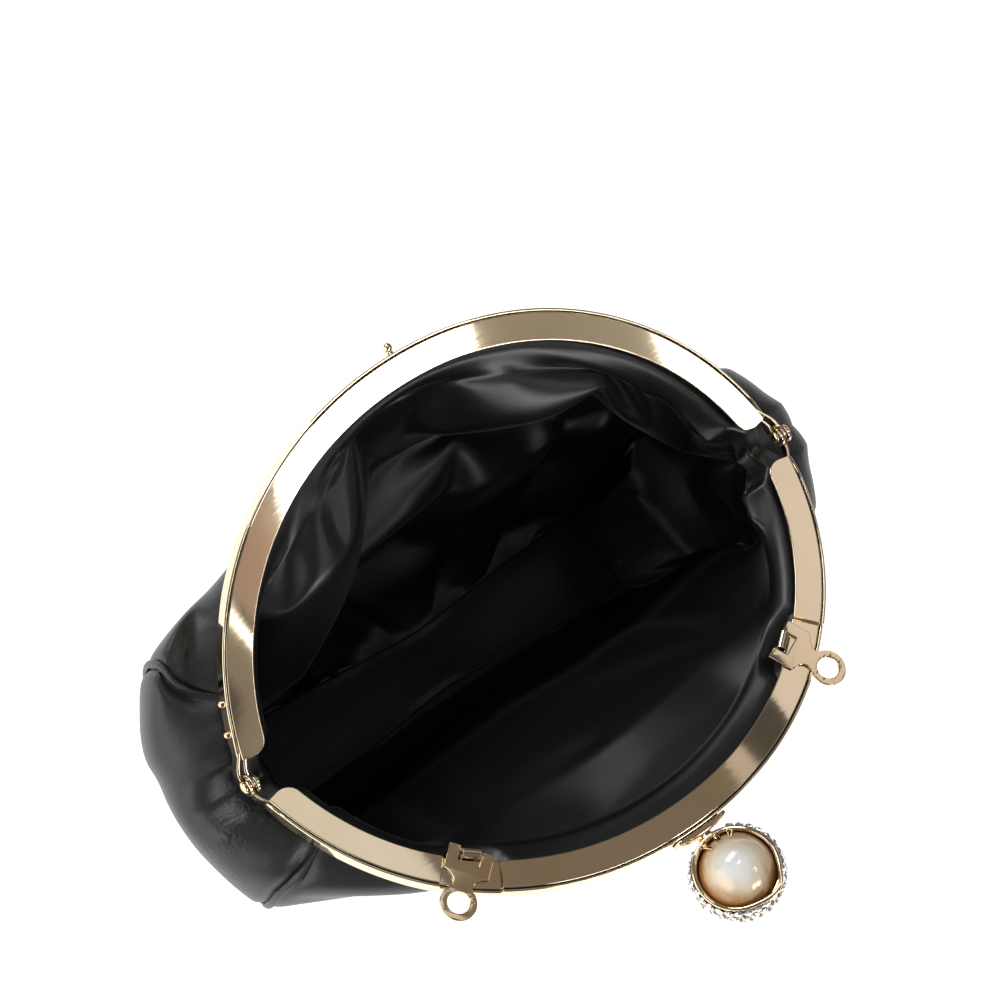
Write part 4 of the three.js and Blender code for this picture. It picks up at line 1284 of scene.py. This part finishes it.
def crumple(columns, walls, shares):
    """Soft dents, gathers under the frame, and a tuck pressed in along each corner seam."""
    count, rows = columns.shape[:2]
    corners = [c for c in range(count) if walls[c].split("_")[0] != walls[c - 1].split("_")[0]]
    height = np.zeros((count, rows))
    for c in range(count):
        for r, share in enumerate(shares):
            if share < RUN_SHARE:
                continue
            p = Vector(columns[c, r]) * MM
            free = min((share - RUN_SHARE) / 0.12, 1) * min((1 - share) / 0.1, 1)
            near = math.exp(-((share - RUN_SHARE) / 0.16) ** 2)
            angle = math.atan2(p.y * 2.2, p.x)
            gather = TUCK["gather"] * near * noise.noise(Vector((angle * 9, share * 2.2, 4.0)))
            dent = TUCK["dent"] * noise.noise(Vector((p.x * 22, p.y * 22, p.z * 26 + 9)))
            fine = TUCK["fine"] * noise.noise(Vector((p.x * 75, p.y * 75, p.z * 60)))
            height[c, r] = free * (gather + dent + fine)
    down = np.array(shares)
    wide = TUCK["width"] * (1 - 0.55 * down)
    depth = TUCK["depth"] * smooth(down, 0.14, 0.3) * (1 - smooth(down, 0.9, 1.0))
    for corner in corners:
        away = np.linalg.norm(columns - columns[corner][None], axis=2)
        height -= depth * np.exp(-(away / wide) ** 2)
    return columns + outward_normals(columns) * height[:, :, None]


def add_leather(material):
    columns, walls = leather_columns()
    ring = ring_object("leather_ring", columns, walls)
    return *split_walls("leather", ring, material, LEATHER_THICKNESS, -1), flat_sizes(columns, walls)


def inward_of(columns):
    """Level directions towards the middle of the purse."""
    inward = -columns * np.array([1, 1, 0])
    inward[:, :, 0] *= 0.35
    return inward / np.maximum(np.linalg.norm(inward, axis=2), 1e-6)[:, :, None]


def loosened(columns, walls, shares):
    """Slack that the lining is cut with: a long soft swell in front and tented folds behind."""
    inward = inward_of(columns)
    out = columns.copy()
    for c, wall in enumerate(walls):
        for r, share in enumerate(shares):
            free = float(smooth(share, RUN_SHARE, 0.34)) * min((1 - share) / 0.22, 1)
            p = columns[c, r] * 0.01
            fold = noise.noise(Vector((p[0] * 1.9 + p[1] * 1.2, p[1] * 0.9, p[2] * 1.6 + 7.4)))
            if wall == "front":
                swell = 17 * math.cos(p[0] * 1.1) + 2 * fold
            else:
                swell = 10 + 20 * fold
            out[c, r] += inward[c, r] * free * swell
            out[c, r, 2] += free * swell * 0.25
    return out


def hang(ring, rows, walls):
    """Cloth held in the frame and at the board, and cut larger than the space it hangs in."""
    held = ring.vertex_groups.new(name="held")
    snug = ring.vertex_groups.new(name="snug")
    shares = spaced_shares(rows)
    held_rows = [r for r in range(rows) if shares[r] <= RUN_SHARE + 0.01] + [rows - 1]
    for c, wall in enumerate(walls):
        held.add([c * rows + r for r in held_rows], 1.0, "REPLACE")
        for r, share in enumerate(shares):
            ease = {"front": 0.0, "back": 1.0}.get(wall, 0.45)
            weight = 1 - ease * float(smooth(share, 0.08, 0.4))
            snug.add([c * rows + r], weight, "REPLACE")
    cloth = ring.modifiers.new("cloth", "CLOTH")
    settings = cloth.settings
    settings.quality = CLOTH["quality"]
    settings.mass = 0.3
    settings.air_damping = CLOTH["air"]
    settings.tension_stiffness = CLOTH["stiff"]
    settings.compression_stiffness = CLOTH["stiff"]
    settings.shear_stiffness = CLOTH["stiff"] * 0.4
    settings.bending_stiffness = CLOTH["bend"]
    settings.vertex_group_mass = "held"
    settings.vertex_group_shrink = "snug"
    settings.shrink_max = -CLOTH["front_slack"]
    settings.shrink_min = -CLOTH["back_slack"]
    settings.use_pressure = True
    settings.uniform_pressure_force = -CLOTH["suction"]
    settings.effector_weights.gravity = CLOTH["gravity"]
    cloth.collision_settings.use_collision = False
    cloth.collision_settings.use_self_collision = False


def run_cloth(ring, frames):
    scene = bpy.context.scene
    scene.frame_start, scene.frame_end = 1, frames
    cache = ring.modifiers["cloth"].point_cache
    cache.frame_start, cache.frame_end = 1, frames
    for number in range(1, frames + 1):
        scene.frame_set(number)
    applied(ring)
    scene.frame_set(1)


def scaled(obj, factor):
    for vertex in obj.data.vertices:
        vertex.co *= factor


def ring_points(ring):
    return np.array([vertex.co for vertex in ring.data.vertices])


def leather_columns():
    shares = spaced_shares(72)
    columns, walls = tube(LEATHER, 120, 40, shares, 0.8)
    return crumple(columns, walls, shares), walls


def pulled_in(ring, outer, rows, shares, least):
    """Brings points that stand beyond the same place of the leather back inside it."""
    inward = inward_of(outer)
    for vertex in ring.data.vertices:
        c, r = divmod(vertex.index, rows)
        if shares[r] <= RUN_SHARE:
            continue
        clear = np.dot(np.array(vertex.co) / MM - outer[c, r], inward[c, r])
        if clear < least:
            vertex.co += Vector(inward[c, r] * (least - clear) * MM)


def kept_clear(ring, rows, shares, least, reach):
    """Moves points that nearly touch the leather's dents and tucks away from them."""
    outer = ring_object("leather_guide", *leather_columns())
    guide = BVHTree.FromPolygons(
        [vertex.co for vertex in outer.data.vertices],
        [polygon.vertices for polygon in outer.data.polygons],
    )
    bpy.data.objects.remove(outer)
    for vertex in ring.data.vertices:
        if shares[vertex.index % rows] <= FOLD_SHARE:
            continue
        nearest, normal, _, _ = guide.find_nearest(vertex.co)
        clear = (nearest - vertex.co).dot(normal)
        if -reach < clear < least:
            vertex.co -= normal * (least - clear)


def add_lining(material):
    rows, panel, end = CLOTH["grid"]
    shares = spaced_shares(rows)
    columns, walls = tube(LINING, panel, end, shares)
    ring = ring_object("lining_ring", loosened(columns, walls, shares), walls)
    scaled(ring, CLOTH["scale"])
    hang(ring, rows, walls)
    run_cloth(ring, CLOTH["frames"])
    scaled(ring, 1 / CLOTH["scale"])
    rounded_foot(ring, rows, shares)
    pulled_in(ring, tube(LEATHER, panel, end, shares)[0], rows, shares, WALL_GAP)
    kept_clear(ring, rows, shares, DENT_GAP, DENT_REACH)
    keep_under_frame(ring)
    floor_sheet(ring, rows, material)
    flats = flat_sizes((ring_points(ring) / MM).reshape(len(walls), rows, 3), walls)
    fine = ring.modifiers.new("fine", "SUBSURF")
    fine.levels = 1
    fine.render_levels = 1
    applied(ring)
    return *split_walls("lining", ring, material, LINING_THICKNESS, 0), flats


def rounded_foot(ring, rows, shares):
    """Brings the walls in over the board on a soft curve, as loose cloth lies."""
    count = len(ring.data.vertices) // rows
    grid = ring_points(ring).reshape(count, rows, 3)
    inward = inward_of(grid)
    low = grid[:, -1, 2].mean()
    for r, share in enumerate(shares):
        if share <= FOOT_SHARE:
            continue
        turn = (share - FOOT_SHARE) / (1 - FOOT_SHARE) * math.pi / 2
        for c in range(count):
            vertex = ring.data.vertices[c * rows + r]
            vertex.co += Vector(inward[c, -1] * FOOT_RADIUS * (1 - math.cos(turn)) * MM)
            vertex.co.z = low + FOOT_RADIUS * (1 - math.sin(turn)) * MM


def floor_grid(foot, long, short):
    """Points spanned between the four sides of the ring that the walls' foot makes."""
    front = foot[:long + 1]
    right = foot[long:long + short + 1]
    back = foot[long + short:2 * long + short + 1][::-1]
    left = np.concatenate([foot[2 * long + short:], foot[:1]])[::-1]
    u = np.linspace(0, 1, long + 1)[:, None, None]
    v = np.linspace(0, 1, short + 1)[None, :, None]
    sides = (1 - v) * front[:, None] + v * back[:, None] + (1 - u) * left[None] + u * right[None]
    corners = (1 - u) * ((1 - v) * front[0] + v * back[0]) + u * ((1 - v) * front[-1] + v * back[-1])
    return sides - corners


def floor_sheet(ring, rows, material):
    """The lining over the board, with a few soft puckers."""
    _, long, end = CLOTH["grid"]
    short = 2 * end
    grid = floor_grid(ring_points(ring)[rows - 1::rows], long, short)
    vertices, faces = [], []
    for i in range(long + 1):
        for j in range(short + 1):
            x, y, z = grid[i, j]
            margin = min(i, long - i, j, short - j)
            pucker = noise.noise(Vector((x * 40, y * 60, 2.0))) * smooth(margin, 0, 5)
            vertices.append((x, y, z + 0.6 * pucker * MM))
    for i in range(long):
        for j in range(short):
            a = i * (short + 1) + j
            faces.append((a, a + short + 1, a + short + 2, a + 1))
    sheet = new_object("lining_base_sewn", vertices, faces, material)
    width, length = (float(np.ptp(grid[..., axis])) for axis in (0, 1))
    place_piece(thickened(sheet, LINING_THICKNESS, -1), "root", "black_satin", "lining_base")


def lug_pivots():
    """Where each lug turns, in the plane of the front half, in millimetres."""
    spots = []
    for station in LUG_STATIONS.values():
        (x, z), (nx, nz) = arch.point(station), arch.normal(station)
        spots.append((x - nx * CURL_INWARD, z - nz * CURL_INWARD))
    return spots


def keep_under_frame(ring):
    """The lining stays under the plates that it comes out from, and leaves room for the lugs to swing."""
    cos, sin = math.cos(OPEN_ANGLE), math.sin(OPEN_ANGLE)
    pivots = lug_pivots()
    for vertex in ring.data.vertices:
        half = BACK if vertex.co.y > 0 else FRONT
        x, y, z = vertex.co.x / MM, vertex.co.y * half / MM, (vertex.co.z - HINGE_Z) / MM
        depth, height = y * cos - z * sin, y * sin + z * cos
        low = 2.0
        if half == FRONT:
            gap = min(math.hypot(x - px, height - pz) for px, pz in pivots)
            low += 4.5 * (1 - float(smooth(gap, 6, 13)))
        if height > 4 and depth < low:
            vertex.co.y = half * (low * cos + height * sin) * MM
            vertex.co.z = HINGE_Z + (height * cos - low * sin) * MM


def bend_with(obj):
    """Bakes a piece's placement into its mesh."""
    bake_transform(obj)


def follow_frame(pieces, areas, flats, slot, kind):
    """Each wall is a sheet whose placement is baked into its mesh, and the CAD node that it stands in for
    is hidden.
    """
    for wall, obj in pieces.items():
        bend_with(obj)
        node = f"{kind}_{wall}"
        if wall.startswith("end"):
            node = node.removesuffix("_front").removesuffix("_back")
        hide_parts(node)


def make_seam(side, half, material):
    """A narrow rolled strip down one corner, from the frame to the base."""
    shares = [SEAM_FROM + 0.79 * i / 47 for i in range(48)]
    line = end_strip(side, float(half), {**LEATHER, "foot": 3.2}, shares)
    along, outward = directions(line)
    across = np.cross(along, outward)
    sections = []
    for i, share in enumerate(shares):
        swell = 1 + 0.25 * noise.noise(Vector((i * 0.35, side, half)))
        rise = 0.25 + 0.75 * float(smooth(share, SEAM_FROM, 0.34))
        wide = 1.7 * swell * rise * (1 - 0.5 * share)
        ring = [(0.9 * rise * math.sin(a) - 1.3, wide, math.cos(a)) for a in round_angles(14)]
        ring = [line[i] + outward[i] * lift + across[i] * wide * aside for lift, wide, aside in ring]
        sections.append(np.array(ring) * MM)
    return sweep("seam", sections, material)


def add_seams(material):
    """Turned seams at the body's four corners."""
    for side, side_word in SIDES:
        for half, half_word in HALVES:
            seam = make_seam(side, half, material)
            seam.name = f"seam_{half_word}_{side_word}_turned"
            bend_with(seam)
            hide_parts(f"seam_{half_word}_{side_word}")


def floor_outline(length, width, corner, bulge, steps=14):
    """A panel's outline with bowed long sides and round corners, in millimetres."""
    x, y = length - corner, width - corner
    legs = [
        ((-x, -width), (0, -width - bulge), (x, -width)),
        ((x, -width), (length, -width), (length, -y)),
        ((length, -y), (length, 0), (length, y)),
        ((length, y), (length, width), (x, width)),
        ((x, width), (0, width + bulge), (-x, width)),
        ((-x, width), (-length, width), (-length, y)),
        ((-length, y), (-length, 0), (-length, -y)),
        ((-length, -y), (-length, -width), (-x, -width)),
    ]
    outline = []
    for a, b, c in legs:
        a, b, c = map(np.array, (a, b, c))
        outline.extend(tuple(quadratic(a, b, c, k / steps)) for k in range(steps))
    return outline


def add_floor_panels(leather, board):
    matrix = Matrix.Translation((0, 0, 0.7 * MM))
    base = stamped("leather_base_panel", [floor_outline(81, 26, 9, 2.5)], 1.4, 0.5, matrix, leather)
    place_piece(base, "root", "black_leather", "leather_base")
    frame["nodes"]["base_board"].data.materials.clear()
    frame["nodes"]["base_board"].data.materials.append(board)


# ---------------------------------------------------------------- assembly

bpy.context.scene.view_settings.view_transform = "Standard"
add_camera()
add_studio()
add_floor()

gold_plate = gold_material("gold_plate", (0.87, 0.74, 0.55), (0.84, 0.70, 0.50), 0.03, 0.25)
gold_fitting = gold_material("gold_fitting", (0.88, 0.73, 0.51), (0.83, 0.66, 0.43), 0.05, 0.3)
black_leather = leather_material()
black_satin = satin_material()

pearl_top = clasp_matrix() @ Vector((0, 0, PEARL_RADIUS * MM))

add_frame(gold_plate, gold_fitting)
add_clasp(gold_fitting, nacre_material(pearl_top), crystal_material())
follow_frame(*add_leather(black_leather), "black_leather", "leather")
add_seams(black_leather)
follow_frame(*add_lining(black_satin), "black_satin", "lining")
add_floor_panels(black_leather, board_material())
